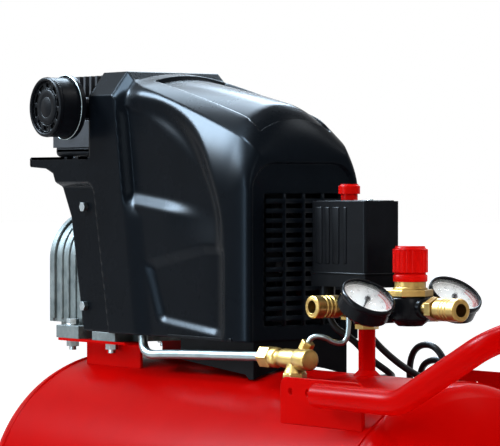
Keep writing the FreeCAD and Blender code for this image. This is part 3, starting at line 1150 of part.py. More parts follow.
# ------------------------------------------------------------------ riser, manifold and switch
def build_controls(blank):
    dx = P.riser_dx
    pipe = cylinder("RiserBar", P.riser_r, P.riser_top + 4, at(dx, 0, -4))
    bore = cylinder("RiserBore", P.riser_r - 2.5, P.riser_top + 8, at(dx, 0, -6))
    node(cut("RiserPipe", pipe, blank, bore), "riser_pipe")
    top = P.riser_top
    neck = hexagon("ManifoldNeck", P.cross_neck_r, P.cross_neck, at(dx, 0, top))
    block = slab("ManifoldBlock", (P.coupler_left_dx - 11, -P.cross_half, top + 9),
                 (dx + P.cross_half, P.cross_half, P.switch_foot - 4))
    seat_ = cylinder("ManifoldSeat", P.cross_half, 8, at(dx - 6, 0, P.switch_foot - 8))
    arm_start = dx + P.cross_half - 1
    arm = cylinder("ManifoldNipple", P.nipple_r, P.regulator_dx - P.regulator_r - P.port - arm_start,
                   at(arm_start, P.regulator_y, P.line_rise), "X")
    node(fuse("Manifold", neck, block, seat_, arm), "manifold")

    # pressure switch
    rear, front, half = P.switch_rear, P.switch_front, P.switch_half
    split = P.switch_foot + P.switch_lip
    base = slab("SwitchTray", (rear, -half, P.switch_foot), (front, half, split))
    base_hollow = slab("SwitchTrayHollow", (rear + 4, -half + 4, P.switch_foot + 5),
                       (front - 4, half - 4, split + 1))
    node(cut("SwitchBase", base, base_hollow), "switch_base")
    wall = P.switch_wall
    body = doc.addObject("PartDesign::Body", "SwitchHood")
    sketch = outline(body, "XY_Plane", "SwitchPlan",
                     [(rear, -half), (front, -half), (front, half), (rear, half)])
    pad = body.newObject("PartDesign::Pad", "SwitchPad")
    pad.Profile = sketch
    bind(pad, "Length", P.switch_top - split)
    seat(body, (P.tank_x, 0, z_at(split)))
    dress(body, "Fillet", "SwitchCorners", lambda edge: runs_along(edge, "z"), "Radius", P.switch_corner)
    hood_hollow = slab("SwitchHollow", (rear + wall, -half + wall, split - 1),
                       (front - wall, half - wall, P.switch_top - wall))
    knob_hole = cylinder("KnobHole", P.knob_neck_r + P.knob_play, wall * 3,
                         at(P.knob_dx, 0, P.switch_top - wall * 2))
    node(cut("SwitchCover", body, hood_hollow, knob_hole), "switch_cover")
    collar = P.switch_top + P.knob_neck
    neck = cylinder("KnobNeck", P.knob_neck_r, P.knob_neck + wall + 8,
                    at(P.knob_dx, 0, P.switch_top - wall - 8))
    cap = turned("KnobCap", [
        (0, z_at(collar)), (P.knob_r, z_at(collar)), (P.knob_r, z_at(P.knob_top) - 2, 2, 1),
        (P.knob_r - 2, z_at(P.knob_top)), (0, z_at(P.knob_top))], (x_at(P.knob_dx), 0, 0))
    node(fuse("SwitchKnob", neck, cap), "switch_knob")
    glands = [cylinder(f"Gland{n}", P.gland_r, P.gland_len, at(gx, gy, P.switch_foot - P.gland_len))
              for n, (gx, gy) in enumerate(((P.gland_lead_dx, P.gland_lead_y),
                                            (P.gland_mains_dx, P.gland_mains_y)))]
    node(group("CordGlands", *glands), "cord_glands")

    # safety valve on the manifold's rear face
    face = P.coupler_left_dx - 11
    valve_hex = hexagon("SafetyHex", P.safety_hex_r, P.safety_hex, at(face, 0, P.line_rise), "-X")
    barrel = cylinder("SafetyBarrel", P.safety_r, P.safety_len, at(face, 0, P.line_rise), "-X")
    stem_hole = cylinder("SafetyHole", P.safety_stem_r + 0.1, P.safety_len,
                         at(face - 6, 0, P.line_rise), "-X")
    node(cut("SafetyValve", fuse("SafetyBlank", valve_hex, barrel), stem_hole), "safety_valve")
    stem = cylinder("SafetyStem", P.safety_stem_r, P.safety_len - 6 + 1, at(face - 9, 0, P.line_rise), "-X")
    eye = torus("SafetyEye", P.safety_ring_r - 4, P.safety_wire,
                at(face - P.safety_len - 7, 0, P.line_rise), "Y")
    node(fuse("SafetyRing", stem, eye), "safety_ring")


# ------------------------------------------------------------------ regulator, gauges, couplers
def gauge_arm(y):
    """Where the arm that carries the gauges crosses a plane of constant Y."""
    reach = P.gauge_back + P.gauge_stem
    return at(P.gauge_dx - reach * sine(P.gauge_tilt), y, P.gauge_rise - reach * cosine(P.gauge_tilt))


def build_regulator():
    dx, y = P.regulator_dx, P.regulator_y
    foot, top = P.regulator_foot, P.regulator_top
    body = cylinder("RegulatorBody", P.regulator_r, top - foot, at(dx, y, foot))
    bowl = cone("RegulatorBowl", P.regulator_r - 8, P.regulator_r - 2, 6, at(dx, y, foot - 6))
    flange = hexagon("RegulatorFlange", P.flange_hex_r, P.flange_hex, at(dx, y, top))
    collar_rise = top + P.flange_hex
    collar = cylinder("RegulatorCollar", P.collar_r, P.collar, at(dx, y, collar_rise))
    lock_rise = collar_rise + P.collar
    lock = cylinder("RegulatorLock", P.lock_r, P.lock, at(dx, y, lock_rise))
    spindle = cylinder("RegulatorSpindle", P.spindle_r, P.knob_gap + 14, at(dx, y, lock_rise + P.lock))
    arm = cylinder("GaugeArm", P.arm_r, P.gauge_y * 2, gauge_arm(y - P.gauge_y), "Y")
    ports = cylinder("RegulatorPorts", P.port_r, (P.regulator_r + P.port) * 2,
                     at(dx - P.regulator_r - P.port, y, P.line_rise), "X")
    node(fuse("Regulator", body, bowl, flange, collar, lock, spindle, arm, ports), "regulator_body")
    knob_rise = lock_rise + P.lock + P.knob_gap
    knob = turned("KnobSkin", [
        (0, z_at(knob_rise)), (P.regulator_knob_r, z_at(knob_rise)),
        (P.regulator_knob_r, z_at(knob_rise + P.regulator_knob) - 3, 3, 1),
        (P.regulator_knob_r - 3, z_at(knob_rise + P.regulator_knob)),
        (0, z_at(knob_rise + P.regulator_knob))],
        (x_at(dx), y, 0))
    flutes = []
    for index in range(count(P.flute_count)):
        angle = math.tau * index / count(P.flute_count)
        ring_r = P.regulator_knob_r + P.flute_r * 0.55
        flutes.append(cylinder(f"Flute{index}", P.flute_r, P.regulator_knob - 3,
                               at(dx + ring_r * math.cos(angle), y + ring_r * math.sin(angle),
                                  knob_rise - 1)))
    knob_bore = cylinder("KnobBore", P.spindle_r + P.spindle_play, 16, at(dx, y, knob_rise - 1))
    node(cut("RegulatorKnob", knob, knob_bore, *flutes), "regulator_knob")


def build_gauge(name, side):
    """A dial gauge that leans towards the handle."""
    tag = name.capitalize()
    tilt = Rotation(Vector(0, 1, 0), P.gauge_tilt.value)
    y = P.regulator_y + side * P.gauge_y
    floor = P.gauge_back - P.gauge_lip

    def along(distance):
        """A point on the gauge's own axis, measured from its front."""
        return at(P.gauge_dx + distance * sine(P.gauge_tilt), y,
                  P.gauge_rise + distance * cosine(P.gauge_tilt))

    back = along(-P.gauge_back)
    radius, wall = P.gauge_r, P.gauge_wall
    cup = turned(f"GaugeCup{tag}", [
        (0, 0), (radius - 4, 0), (radius - 1, 3), (radius - 1, P.gauge_back - 5), (radius, P.gauge_back - 4),
        (radius, P.gauge_back), (radius - wall, P.gauge_back), (radius - wall, floor), (0, floor)],
        (0, 0, 0))
    seat(cup, back, tilt)
    stem = cylinder(f"GaugeStem{tag}", P.gauge_stem_r, P.gauge_stem + 1,
                    along(-P.gauge_back - P.gauge_stem), tilt)
    elbow_trim = cylinder(f"GaugeTrim{tag}", P.arm_r, P.gauge_r * 2, gauge_arm(y - P.gauge_r), "Y")
    pin = cylinder(f"GaugePin{tag}", P.needle_pin_r, P.needle_rise + P.needle_thick + 2,
                   along(-P.gauge_lip - 0.5), tilt)
    stem = cut(f"GaugeStemCut{tag}", stem, elbow_trim)
    node(fuse(f"GaugeCase{tag}", stem, cup, pin), f"gauge_{name}_case")
    lift = -P.gauge_lip + P.needle_rise
    hub = cylinder(f"NeedleHub{tag}", P.needle_hub_r, P.needle_thick + 0.8, along(lift), tilt)
    turn = tilt.multiply(Rotation(Vector(0, 0, 1), -45))
    blade = doc.addObject("PartDesign::Body", f"NeedleBlade{tag}")
    sketch = outline(blade, "XY_Plane", f"NeedleOutline{tag}", [
        (-6, -P.needle_width), (P.needle_len, -0.4), (P.needle_len, 0.4), (-6, P.needle_width)])
    pad = blade.newObject("PartDesign::Pad", f"NeedlePad{tag}")
    pad.Profile = sketch
    bind(pad, "Length", P.needle_thick)
    seat(blade, along(lift), turn)
    pin_hole = cylinder(f"NeedleHole{tag}", P.needle_pin_r + P.needle_play, 6, along(lift - 2), tilt)
    node(cut(f"Needle{tag}", fuse(f"NeedleBlank{tag}", hub, blade), pin_hole), f"gauge_{name}_needle")


def build_coupler(name, start, length, along):
    """A quick coupler: a socket in a sliding sleeve, pointing away from its hexagon."""
    tag = name.capitalize()
    step = {"X": (1, 0), "-Y": (0, -1)}[along]

    def out(distance):
        return (start[0] + step[0] * distance, start[1] + step[1] * distance, start[2])

    hexed = hexagon(f"CouplerHex{tag}", P.coupler_hex_r, P.coupler_hex, out(length - P.sleeve_len
                    - P.coupler_travel - P.coupler_hex - 0.4), along)
    nipple = cylinder(f"CouplerNipple{tag}", P.nipple_r, length / 2, start, along)
    socket = cylinder(f"CouplerSocket{tag}", P.coupler_body_r, P.sleeve_len + P.coupler_travel + 1,
                      out(length - P.sleeve_len - P.coupler_travel - 1), along)
    mouth = cylinder(f"CouplerMouth{tag}", P.coupler_bore_r, P.coupler_bore + 1,
                     out(length - P.coupler_bore), along)
    node(cut(f"CouplerBody{tag}", fuse(f"CouplerBlank{tag}", hexed, nipple, socket), mouth),
         f"coupler_{name}_body")
    skin = P.sleeve_r
    inner = P.coupler_body_r + P.coupler_play
    points = [(inner, 0), (skin - 1, 0), (skin, 1)]
    for ring_ in range(3):
        place = P.sleeve_len * (0.3 + 0.15 * ring_)
        points += [(skin, place), (skin - 0.8, place + 0.8), (skin - 0.8, place + 2.2), (skin, place + 3)]
    points += [(skin, P.sleeve_len - 1), (skin - 1, P.sleeve_len), (inner, P.sleeve_len)]
    sleeve = turned(f"CouplerSleeve{tag}", points, out(length - P.sleeve_len), along)
    node(sleeve, f"coupler_{name}_sleeve")


# ------------------------------------------------------------------ drain
def build_drain():
    x, face = x_at(P.drain_dx), P.tank_z - P.tank_r - P.drain_boss
    low = face - P.drain_hex
    hexed = hexagon("DrainHex", P.drain_hex_r, P.drain_hex, (x, 0, low))
    body = cylinder("DrainBody", P.drain_body_r, P.drain_body, (x, 0, low - P.drain_body))
    hole = cylinder("DrainHole", P.drain_stem_r + P.axle_play, P.drain_body + 1,
                    (x, 0, low - P.drain_body - 1))
    node(cut("DrainValve", fuse("DrainBlank", hexed, body), hole), "drain_valve")
    knob_top = low - P.drain_body - 0.5
    knob = cylinder("DrainKnob", P.drain_knob_r, P.drain_knob, (x, 0, knob_top - P.drain_knob))
    stem = cylinder("DrainStem", P.drain_stem_r, P.drain_body - 1, (x, 0, knob_top - 1))
    node(fuse("DrainScrew", knob, stem), "drain_screw")


# ------------------------------------------------------------------ cords
def build_cords():
    radius = P.cord_r.value
    exit_rise = P.switch_foot - P.gland_len
    lead = [spot(P.gland_lead_dx, P.gland_lead_y, exit_rise), spot(P.gland_lead_dx, P.gland_lead_y, 50),
            spot(130, 8, 34), spot(136, 24, 14), spot(148, 42, -1), spot(118, 68, -8), spot(30, 76, -13),
            spot(-70, 74, -8), spot(P.lead_dx, P.lead_y, 12), spot(P.lead_dx, P.lead_y, P.lead_rise)]
    cord, path = swept("MotorLead", lead, easy_radii(lead, 10, "lead"), radius)
    node(cord, "motor_lead")
    gx, gy = P.gland_mains_dx, P.gland_mains_y
    mains = [spot(gx, gy, exit_rise), spot(gx, gy, 56), spot(142, 26, 30), spot(162, 52, 2),
             spot(176, 84, -14), spot(140, 118, -42), spot(84, 116, -28), spot(98, 108, 24),
             spot(146, 110, 26), spot(152, 124, -40), spot(96, 134, -56), spot(86, 124, 4),
             spot(140, 126, 12), spot(166, 156, -60), spot(160, 168, -220), spot(112, 146, -316),
             spot(112, 146, P.floor_gap + P.coil_thick - CROWN)]
    cord, path = swept("MainsCord", mains, easy_radii(mains, 10, "mains"), radius)
    print("mains tube", round(path.Length))
    node(cord, "mains_cord")
    build_coil_and_plug()


def build_coil_and_plug():
    """The rest of the mains cord as one coil, whose top outer turn runs on into the plug."""
    def upright(name, radius, low, height):
        return cylinder(name, radius, height, (x_at(P.coil_dx), P.coil_y, low))

    gap, edge = P.floor_gap, P.coil_r + P.coil_half
    hole = upright("CoilHole", P.coil_r - P.coil_half, 0, P.coil_thick * 2)
    node(cut("CordCoil", upright("CoilSolid", edge, gap, P.coil_thick), hole), "cord_coil")
    y, level = P.coil_y - P.coil_r - P.cord_r * 2, P.plug_r + gap
    # the neck starts where that turn leaves the coil's outside
    start = x_at(P.coil_dx) + root(edge * edge - (P.coil_y - y) * (P.coil_y - y))
    lug = start + P.plug_neck
    neck = cone("PlugNeck", P.cord_r, P.plug_neck_r, P.plug_neck + P.coil_half,
                (start - P.coil_half, y, level), "X")
    grip = cone("PlugGrip", P.plug_r, P.plug_r - P.plug_taper, P.plug_len, (lug, y, level), "X")
    pins = [cylinder(f"PlugPin{n}", P.plug_pin_r, P.plug_pin,
                     (lug + P.plug_len, y + side * P.plug_pin_gap / 2, level), "X")
            for n, side in enumerate((-1, 1))]
    coil_form = upright("CoilForm", edge, 0, P.coil_thick * 2)
    node(cut("MainsPlug", fuse("PlugBlank", grip, neck, *pins), coil_form), "mains_plug")


# ------------------------------------------------------------------ assembly
build_tank()
tank = tank_blank()
build_bungs(tank)
build_saddle(tank)
build_brackets(tank)
build_wheels()
build_handle()
build_pump()
build_motor()
build_shroud()
build_filter()
build_air_line()
build_controls(tank)
build_regulator()
build_gauge("left", -1)
build_gauge("right", 1)
line = P.line_rise
build_coupler("left", at(P.coupler_left_dx, -P.cross_half, line), P.coupler_left_end - P.cross_half, "-Y")
port = P.regulator_dx + P.regulator_r + P.port
build_coupler("right", at(port, P.regulator_y, line), P.coupler_right_end - port, "X")
build_drain()
build_cords()

doc.recompute()
faults = [f"{item.Name} {item.State}" for item in doc.Objects
          if "Invalid" in item.State or "Error" in item.State]
faults += [f"{item.Label} has no valid solid" for item in NODES
           if item.Shape.isNull() or not item.Shape.isValid() or not item.Shape.Solids]
if faults:
    raise RuntimeError("; ".join(faults))
os.makedirs("parts", exist_ok=True)
for item in NODES:
    item.Shape.exportStep(f"parts/{item.Label}.step")
print(len(NODES), "nodes written")
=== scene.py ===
"""Looks of the air compressor: materials, dials, cords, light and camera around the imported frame."""

import json
import math

import bmesh
import bpy
import numpy as np
from mathutils import Matrix, Vector


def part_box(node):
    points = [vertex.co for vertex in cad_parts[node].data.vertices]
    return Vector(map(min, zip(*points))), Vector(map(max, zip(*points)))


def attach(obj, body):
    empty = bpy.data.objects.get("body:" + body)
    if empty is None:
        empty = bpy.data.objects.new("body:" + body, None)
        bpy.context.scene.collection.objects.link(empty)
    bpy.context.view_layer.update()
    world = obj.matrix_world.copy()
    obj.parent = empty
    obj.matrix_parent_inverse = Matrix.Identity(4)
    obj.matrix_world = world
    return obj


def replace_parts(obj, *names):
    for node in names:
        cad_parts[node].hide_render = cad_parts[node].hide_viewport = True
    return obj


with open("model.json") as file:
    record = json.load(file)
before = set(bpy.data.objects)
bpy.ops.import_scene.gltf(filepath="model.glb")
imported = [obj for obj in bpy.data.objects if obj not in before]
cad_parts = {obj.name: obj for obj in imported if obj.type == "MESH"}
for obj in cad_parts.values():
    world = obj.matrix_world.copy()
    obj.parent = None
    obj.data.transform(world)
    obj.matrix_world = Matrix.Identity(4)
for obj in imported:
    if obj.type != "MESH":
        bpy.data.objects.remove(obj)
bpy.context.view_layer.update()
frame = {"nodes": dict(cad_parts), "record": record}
nodes = frame["nodes"]

TANK_X, CROWN = -0.074, 0.378  # middle of the tank along X, and the height of its top, in metres


def at(dx, y, rise):
    """A point in metres from a station, a side and a height above the tank's crown, in mm."""
    return Vector((TANK_X + dx / 1000, y / 1000, CROWN + rise / 1000))


# ------------------------------------------------------------------ materials
def new_material(name):
    """An empty material with a Principled shader on its output."""
    material = bpy.data.materials.new(name)
    material.use_nodes = True
    tree = material.node_tree
    tree.nodes.clear()
    out = tree.nodes.new("ShaderNodeOutputMaterial")
    shader = tree.nodes.new("ShaderNodeBsdfPrincipled")
    tree.links.new(shader.outputs[0], out.inputs[0])
    return material, tree, shader


def noise(tree, scale, detail, rough):
    """Noise over the piece's own coordinates."""
    coords = tree.nodes.new("ShaderNodeTexCoord")
    texture = tree.nodes.new("ShaderNodeTexNoise")
    texture.inputs["Scale"].default_value = scale
    texture.inputs["Detail"].default_value = detail
    texture.inputs["Roughness"].default_value = rough
    tree.links.new(coords.outputs["Object"], texture.inputs["Vector"])
    return texture.outputs["Fac"]


def ramp(tree, source, low, high, dark, light):
    """A colour between two, by a value."""
    node = tree.nodes.new("ShaderNodeValToRGB")
    node.color_ramp.elements[0].position = low
    node.color_ramp.elements[1].position = high
    node.color_ramp.elements[0].color = (*dark, 1)
    node.color_ramp.elements[1].color = (*light, 1)
    tree.links.new(source, node.inputs["Fac"])
    return node.outputs["Color"]


def span(tree, source, low, high):
    """A number between two, by a value."""
    node = tree.nodes.new("ShaderNodeMapRange")
    node.inputs["To Min"].default_value = low
    node.inputs["To Max"].default_value = high
    tree.links.new(source, node.inputs["Value"])
    return node.outputs["Result"]


def surface(name, dark, light, rough, metallic=0.0, grain=40.0, bump=0.1, bump_scale=400.0,
            bump_depth=0.0002, edge=0.0, gloss=0.5, tint=(1, 1, 1)):
    """A procedural surface: uneven colour and roughness, a fine grain, and softly rounded edges."""
    material, tree, shader = new_material(name)
    patches = noise(tree, grain, 4, 0.6)
    tree.links.new(ramp(tree, patches, 0.3, 0.7, dark, light), shader.inputs["Base Color"])
    wear = noise(tree, grain * 2.3, 5, 0.6)
    tree.links.new(span(tree, wear, *rough), shader.inputs["Roughness"])
    shader.inputs["Metallic"].default_value = metallic
    shader.inputs["Specular IOR Level"].default_value = gloss
    shader.inputs["Specular Tint"].default_value = (*tint, 1)
    height = tree.nodes.new("ShaderNodeBump")
    height.inputs["Strength"].default_value = bump
    height.inputs["Distance"].default_value = bump_depth
    tree.links.new(noise(tree, bump_scale, 2, 0.5), height.inputs["Height"])
    if edge:
        bevel = tree.nodes.new("ShaderNodeBevel")
        bevel.samples = 6
        bevel.inputs["Radius"].default_value = edge
        tree.links.new(bevel.outputs["Normal"], height.inputs["Normal"])
    tree.links.new(height.outputs["Normal"], shader.inputs["Normal"])
    return material


red_paint = surface("red_paint", (0.54, 0.0008, 0.0005), (0.62, 0.0014, 0.0008), (0.22, 0.30), grain=6,
                    bump=0.05, bump_scale=320, edge=0.0012, gloss=0.012, tint=(1, 0.3, 0.25))
shroud_plastic = surface("shroud_plastic", (0.0018, 0.0028, 0.0044), (0.0034, 0.0050, 0.0076),
                         (0.25, 0.30), grain=8, bump=0.08, bump_scale=900, bump_depth=0.0001, edge=0.0022,
                         gloss=0.025, tint=(0.70, 0.86, 1.0))
black_plastic = surface("black_plastic", (0.0026, 0.0032, 0.0044), (0.0052, 0.0062, 0.0082), (0.30, 0.40),
                        grain=30, bump=0.2, bump_scale=1500, bump_depth=0.0001, edge=0.0008, gloss=0.03)
red_plastic = surface("red_plastic", (0.66, 0.003, 0.002), (0.78, 0.006, 0.004), (0.22, 0.30), grain=30,
                      bump=0.05, bump_scale=600, edge=0.0006, gloss=0.04, tint=(1, 0.3, 0.25))
cast_aluminium = surface("cast_aluminium", (0.050, 0.062, 0.060), (0.135, 0.155, 0.150), (0.42, 0.55),
                         metallic=0.3, grain=60, bump=0.5, bump_scale=700, bump_depth=0.0003, edge=0.001,
                         gloss=0.2)
dark_casting = surface("dark_casting", (0.010, 0.011, 0.013), (0.024, 0.026, 0.030), (0.4, 0.55),
                       metallic=0.3, grain=60, bump=0.5, bump_scale=700, bump_depth=0.0003, edge=0.0008,
                       gloss=0.1)
brass = surface("brass_turned", (0.20, 0.120, 0.034), (0.37, 0.245, 0.080), (0.30, 0.42), metallic=1.0,
                bump=0.15, bump_scale=900, bump_depth=0.0001, edge=0.0006)
steel = surface("zinc_steel", (0.15, 0.165, 0.165), (0.30, 0.32, 0.32), (0.25, 0.4), metallic=1.0,
                grain=50, bump=0.2, bump_scale=900, bump_depth=0.0001, edge=0.0006)
chrome = surface("chrome_plate", (0.72, 0.72, 0.74), (0.82, 0.82, 0.84), (0.06, 0.12), metallic=1.0,
                 grain=30, bump=0.02, bump_scale=500, edge=0.0004)
black_metal = surface("black_metal", (0.0028, 0.0034, 0.0044), (0.0056, 0.0066, 0.0082), (0.20, 0.28),
                      grain=30, bump_scale=900, edge=0.0006, gloss=0.05)
copper = surface("winding_copper", (0.30, 0.09, 0.03), (0.46, 0.16, 0.06), (0.3, 0.4), metallic=0.9,
                 grain=80, bump=0.6, bump_scale=1200, bump_depth=0.0004)
rubber = surface("moulded_rubber", (0.006, 0.006, 0.007), (0.012, 0.012, 0.013), (0.55, 0.7), grain=60,
                 bump=0.4, bump_scale=1400, edge=0.0008, gloss=0.08)
tyre_rubber = surface("tyre_rubber", (0.008, 0.008, 0.008), (0.018, 0.018, 0.018), (0.6, 0.8), grain=60,
                      bump=0.5, bump_scale=900, bump_depth=0.0004, edge=0.001, gloss=0.1)
foam = surface("filter_foam_pores", (0.004, 0.004, 0.004), (0.02, 0.02, 0.02), (0.85, 0.95), grain=600,
               bump=1.0, bump_scale=900, bump_depth=0.001, gloss=0.1)
tube_metal = surface("drawn_aluminium", (0.13, 0.155, 0.155), (0.22, 0.25, 0.25), (0.28, 0.40),
                     metallic=1.0, grain=30, bump_scale=700, bump_depth=0.0001)
cord_rubber = surface("cord_sheath", (0.004, 0.004, 0.005), (0.010, 0.010, 0.012), (0.32, 0.42), grain=120,
                      bump=0.15, bump_scale=1500, bump_depth=0.0001, gloss=0.1)

FINISH = {
    "tank_red": red_paint, "shroud_blue_grey": shroud_plastic, "black_plastic": black_plastic,
    "red_plastic": red_plastic, "cast_aluminium": cast_aluminium, "grey_cast": dark_casting,
    "brass": brass, "steel": steel, "chrome": chrome, "black_metal": black_metal, "copper_wire": copper,
    "rubber": rubber, "tyre": tyre_rubber, "foam": foam, "aluminium_tube": tube_metal,
    "cord_black": cord_rubber,
}
slots = {part["node"]: part["material_slot"] for part in frame["record"]["subparts"]}
for name, item in nodes.items():
    item.data.materials.clear()
    item.data.materials.append(FINISH[slots[name]])
# the couplers' sleeves are brass; the steel shaft's end behind the grille takes the dark casting's colour
# as painted shade, standing in for the shade inside the cover
for name, finish in (("motor_shaft", dark_casting), ("coupler_left_sleeve", brass),
                     ("coupler_right_sleeve", brass)):
    nodes[name].data.materials[0] = finish


# ------------------------------------------------------------------ helpers for pieces
def plain(name, colour, rough):
    """A printed surface, with a faint unevenness."""
    dark = tuple(c * 0.92 for c in colour)
    return surface(name, dark, colour, (rough, rough + 0.08), grain=60, bump=0.05, bump_scale=900)


def piece(name, form, material, body, smooth=True):
    """A mesh piece that rides on a CAD body."""
    mesh = bpy.data.meshes.new(name)
    form.to_mesh(mesh)
    form.free()
    mesh.materials.append(material)
    if smooth:
        mesh.shade_smooth()
    item = bpy.data.objects.new(name, mesh)
    bpy.context.scene.collection.objects.link(item)
    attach(item, body)
    return item


def ring_of(form, matrix, radius, height, sides):
    """One ring of vertices, in a frame whose Z is the axis."""
    return [form.verts.new(matrix @ Vector((radius * math.cos(a), radius * math.sin(a), height)))
            for a in (2 * math.pi * n / sides for n in range(sides))]


def lathe(form, matrix, profile, sides, closed=False):
    """A revolved skin from (radius, height) points; a radius of 0 closes it with a fan."""
    rings = []
    for radius, height in profile:
        if radius < 1e-7:
            rings.append([form.verts.new(matrix @ Vector((0, 0, height)))])
        else:
            rings.append(ring_of(form, matrix, radius, height, sides))
    pairs = list(zip(rings, rings[1:]))
    if closed:
        pairs.append((rings[-1], rings[0]))
    for a, b in pairs:
        for n in range(sides):
            m = (n + 1) % sides
            if len(a) == 1:
                form.faces.new((a[0], b[n], b[m]))
            elif len(b) == 1:
                form.faces.new((a[n], a[m], b[0]))
            else:
                form.faces.new((a[n], a[m], b[m], b[n]))
    return form


def axis_frame(origin, axis):
    """A frame at origin with its Z along axis."""
    turn = Vector(axis).to_track_quat("Z", "Y").to_matrix().to_4x4()
    return Matrix.Translation(origin) @ turn


def sharpen(item, degrees):
    """Shade as sharp each edge that turns by more than an angle."""
    item.data.set_sharp_from_angle(angle=math.radians(degrees))


def walled(item, thickness):
    """Give a skin a wall, inwards."""
    skin = item.modifiers.new("wall", "SOLIDIFY")
    skin.thickness, skin.offset = thickness, -1


def spline(name, points, radius, material):
    """A round cord along one smooth line, with the route's points as its control points."""
    curve = bpy.data.curves.new(name, "CURVE")
    curve.dimensions = "3D"
    curve.bevel_depth = radius
    curve.bevel_resolution = 4
    curve.use_fill_caps = True
    curve.resolution_u = 10
    line = curve.splines.new("NURBS")
    line.points.add(len(points) - 1)
    for point, spot in zip(line.points, points):
        point.co = (*spot, 1)
    line.order_u = 3
    line.use_endpoint_u = True
    curve.materials.append(material)
    item = bpy.data.objects.new(name, curve)
    bpy.context.scene.collection.objects.link(item)
    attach(item, "frame")
    return item


# ------------------------------------------------------------------ shroud
# a moulded cover, worked out as sheets over station, side and height in millimetres
HALF, FRONT, FOOT, LEDGE, BAND_TOP = 80, 58, 30, 221, 313
BAND_REAR, BAND_FRONT, ROOF_REAR, CORNER = -229, -183, -169, 32
ARCH_HALF, ARCH_TOP, ARCH_ROUND, ARCH_INSET = 66, 214, 30, 4
GRILLE_HALF, GRILLE_LOW, GRILLE_HIGH = 47.4, 46, 181.2
SLOT_WIDE, SLOT_TALL, RIB_WIDE, SLOT_PITCH, SLOT_COLUMNS, SLOT_ROWS = 21, 5.2, 3.6, 10, 4, 14
HOOP_X, HOOP_Z, HOOP_LONG, HOOP_TALL = -158, 124, 184, 170  # the arch pressed into each side
LEDGE_TIP, OPENING_X, OPENING_R, SHROUD_WALL = -352, -300, 46.5, 0.0028


def ease(value):
    """A soft step from 0 to 1."""
    value = np.clip(value, 0, 1)
    return value * value * (3 - 2 * value)


def quarter(x, start, end):
    """How far a quarter ellipse has fallen, from 0 at its start to 1 at its end."""
    part = np.clip((x - start) / (end - start), 0, 1)
    return 1 - np.sqrt(1 - part * part)


def crease_rise(x):
    """Height of the crease that runs along each long edge of the roof."""
    run = np.maximum(x - ROOF_REAR, 0)
    roof = 302 - 0.27 * run - 0.00022 * run * run - 12 * quarter(x, 30, FRONT)
    band = np.interp(x, (BAND_FRONT, ROOF_REAR), (BAND_TOP, 302))
    return np.where(x < ROOF_REAR, band, roof)


def crease_side(x):
    """How far that crease lies from the middle."""
    return 60 + 4 * ease((x - ROOF_REAR) / 30) - 10 * quarter(x, 6, FRONT)


def crown(x):
    """How far the middle of the roof stands above its creases."""
    swell = 9 + 27 * np.clip((x - ROOF_REAR) / 190, 0, 1)
    nose = np.clip((x - 12) / (FRONT - 12), 0, 1)
    return np.where(x < ROOF_REAR, 0, swell * (1 - nose ** 2) ** 0.7)


def side_inset(x, z):
    """How deep the pressed panels of the side are let in."""
    # the arch behind the front pillar and under the brow; a wall behind the band is its rear edge
    u, v = (x - HOOP_X) / HOOP_LONG, np.maximum(z - HOOP_Z, 0) / HOOP_TALL
    reach = np.sqrt(np.maximum(u * u + v * v, 1e-9))
    slope = np.sqrt((u / HOOP_LONG) ** 2 + (v / HOOP_TALL) ** 2) / reach
    inside = (1 - reach) / np.maximum(slope, 1e-6)
    start = x + 163 + (z - 173) * 0.149
    inset = 5 * ease(inside / 26) * ease(start / (10 + 22 * ease((176 - z) / 24)))
    # the upper panel, with a lip below that fades forwards
    lip = 174 - 0.11 * (x + 165)
    fade = ease((x + 95) / 85)
    below = ease((z - lip + 6) / 18) * (1 - fade) + ease((z - lip + 44) / 54) * fade
    inset += 6.6 * ease(start / 10) * below * ease(inside / 30)
    # the lower panel
    top = np.interp(x, (-122, -21), (105, 123))
    rear = -122 + (105 - z) * 0.43
    foot = 42 - 0.1 * (x + 95)
    within = ease((top + 7 - z) / 14) * ease((x - rear + 8) / 16) * ease((z - foot) / 12)
    inset += 4.5 * within * ease(inside / 14)
    # the screwed flange at the rear, with a round corner
    edge = (-222 + (194 - z) * 0.1965) - x
    roof = 194 - z
    corner = 14 - np.hypot(np.maximum(14 - edge, 0), np.maximum(14 - roof, 0))
    inset += 8 * ease(np.minimum(np.minimum(edge, roof), corner) / 7)
    return inset


def side_reach(x, z):
    """Distance of the side from the middle: round at the front corner and under the crease."""
    plan = HALF - 12 * quarter(x, -25, FRONT)
    rise, side = crease_rise(x), crease_side(x)
    drop = 26 + 34 * ease((x + 165) / 170) - 22 * ease((x - 25) / 33)
    power = 1 + 0.8 * ease((x - ROOF_REAR) / 30)
    part = np.clip((z - rise + drop) / drop, 0, 1)
    return plan - (plan - side) * part ** power - side_inset(x, z) * (1 - part ** 6)


def front_station(y, z):
    """The front, let in behind an arch."""
    over = np.maximum(np.abs(y) - ARCH_HALF + ARCH_ROUND, 0), np.maximum(z - ARCH_TOP + ARCH_ROUND, 0)
    depth = ARCH_ROUND - np.hypot(*over)
    edge = np.minimum(np.minimum(ARCH_HALF - np.abs(y), ARCH_TOP - z), depth)
    return FRONT - ARCH_INSET * ease(edge / 3)


def steps(*stops):
    """Stations from (place, number of spans to the next place), ending on a place."""
    line = [np.linspace(a, b, n, endpoint=False) for (a, n), (b, _) in zip(stops, stops[1:])]
    return np.concatenate([*line, [stops[-1][0]]])


def sheet_of(form, x, y, z, flip=False):
    """A skin over three arrays of the same shape, in millimetres."""
    rows, columns = x.shape
    spots = [[form.verts.new(at(x[r, c], y[r, c], z[r, c])) for c in range(columns)] for r in range(rows)]
    for r in range(rows - 1):
        for c in range(columns - 1):
            corners = [spots[r][c], spots[r][c + 1], spots[r + 1][c + 1], spots[r + 1][c]]
            if flip:
                corners.reverse()
            form.faces.new(corners)


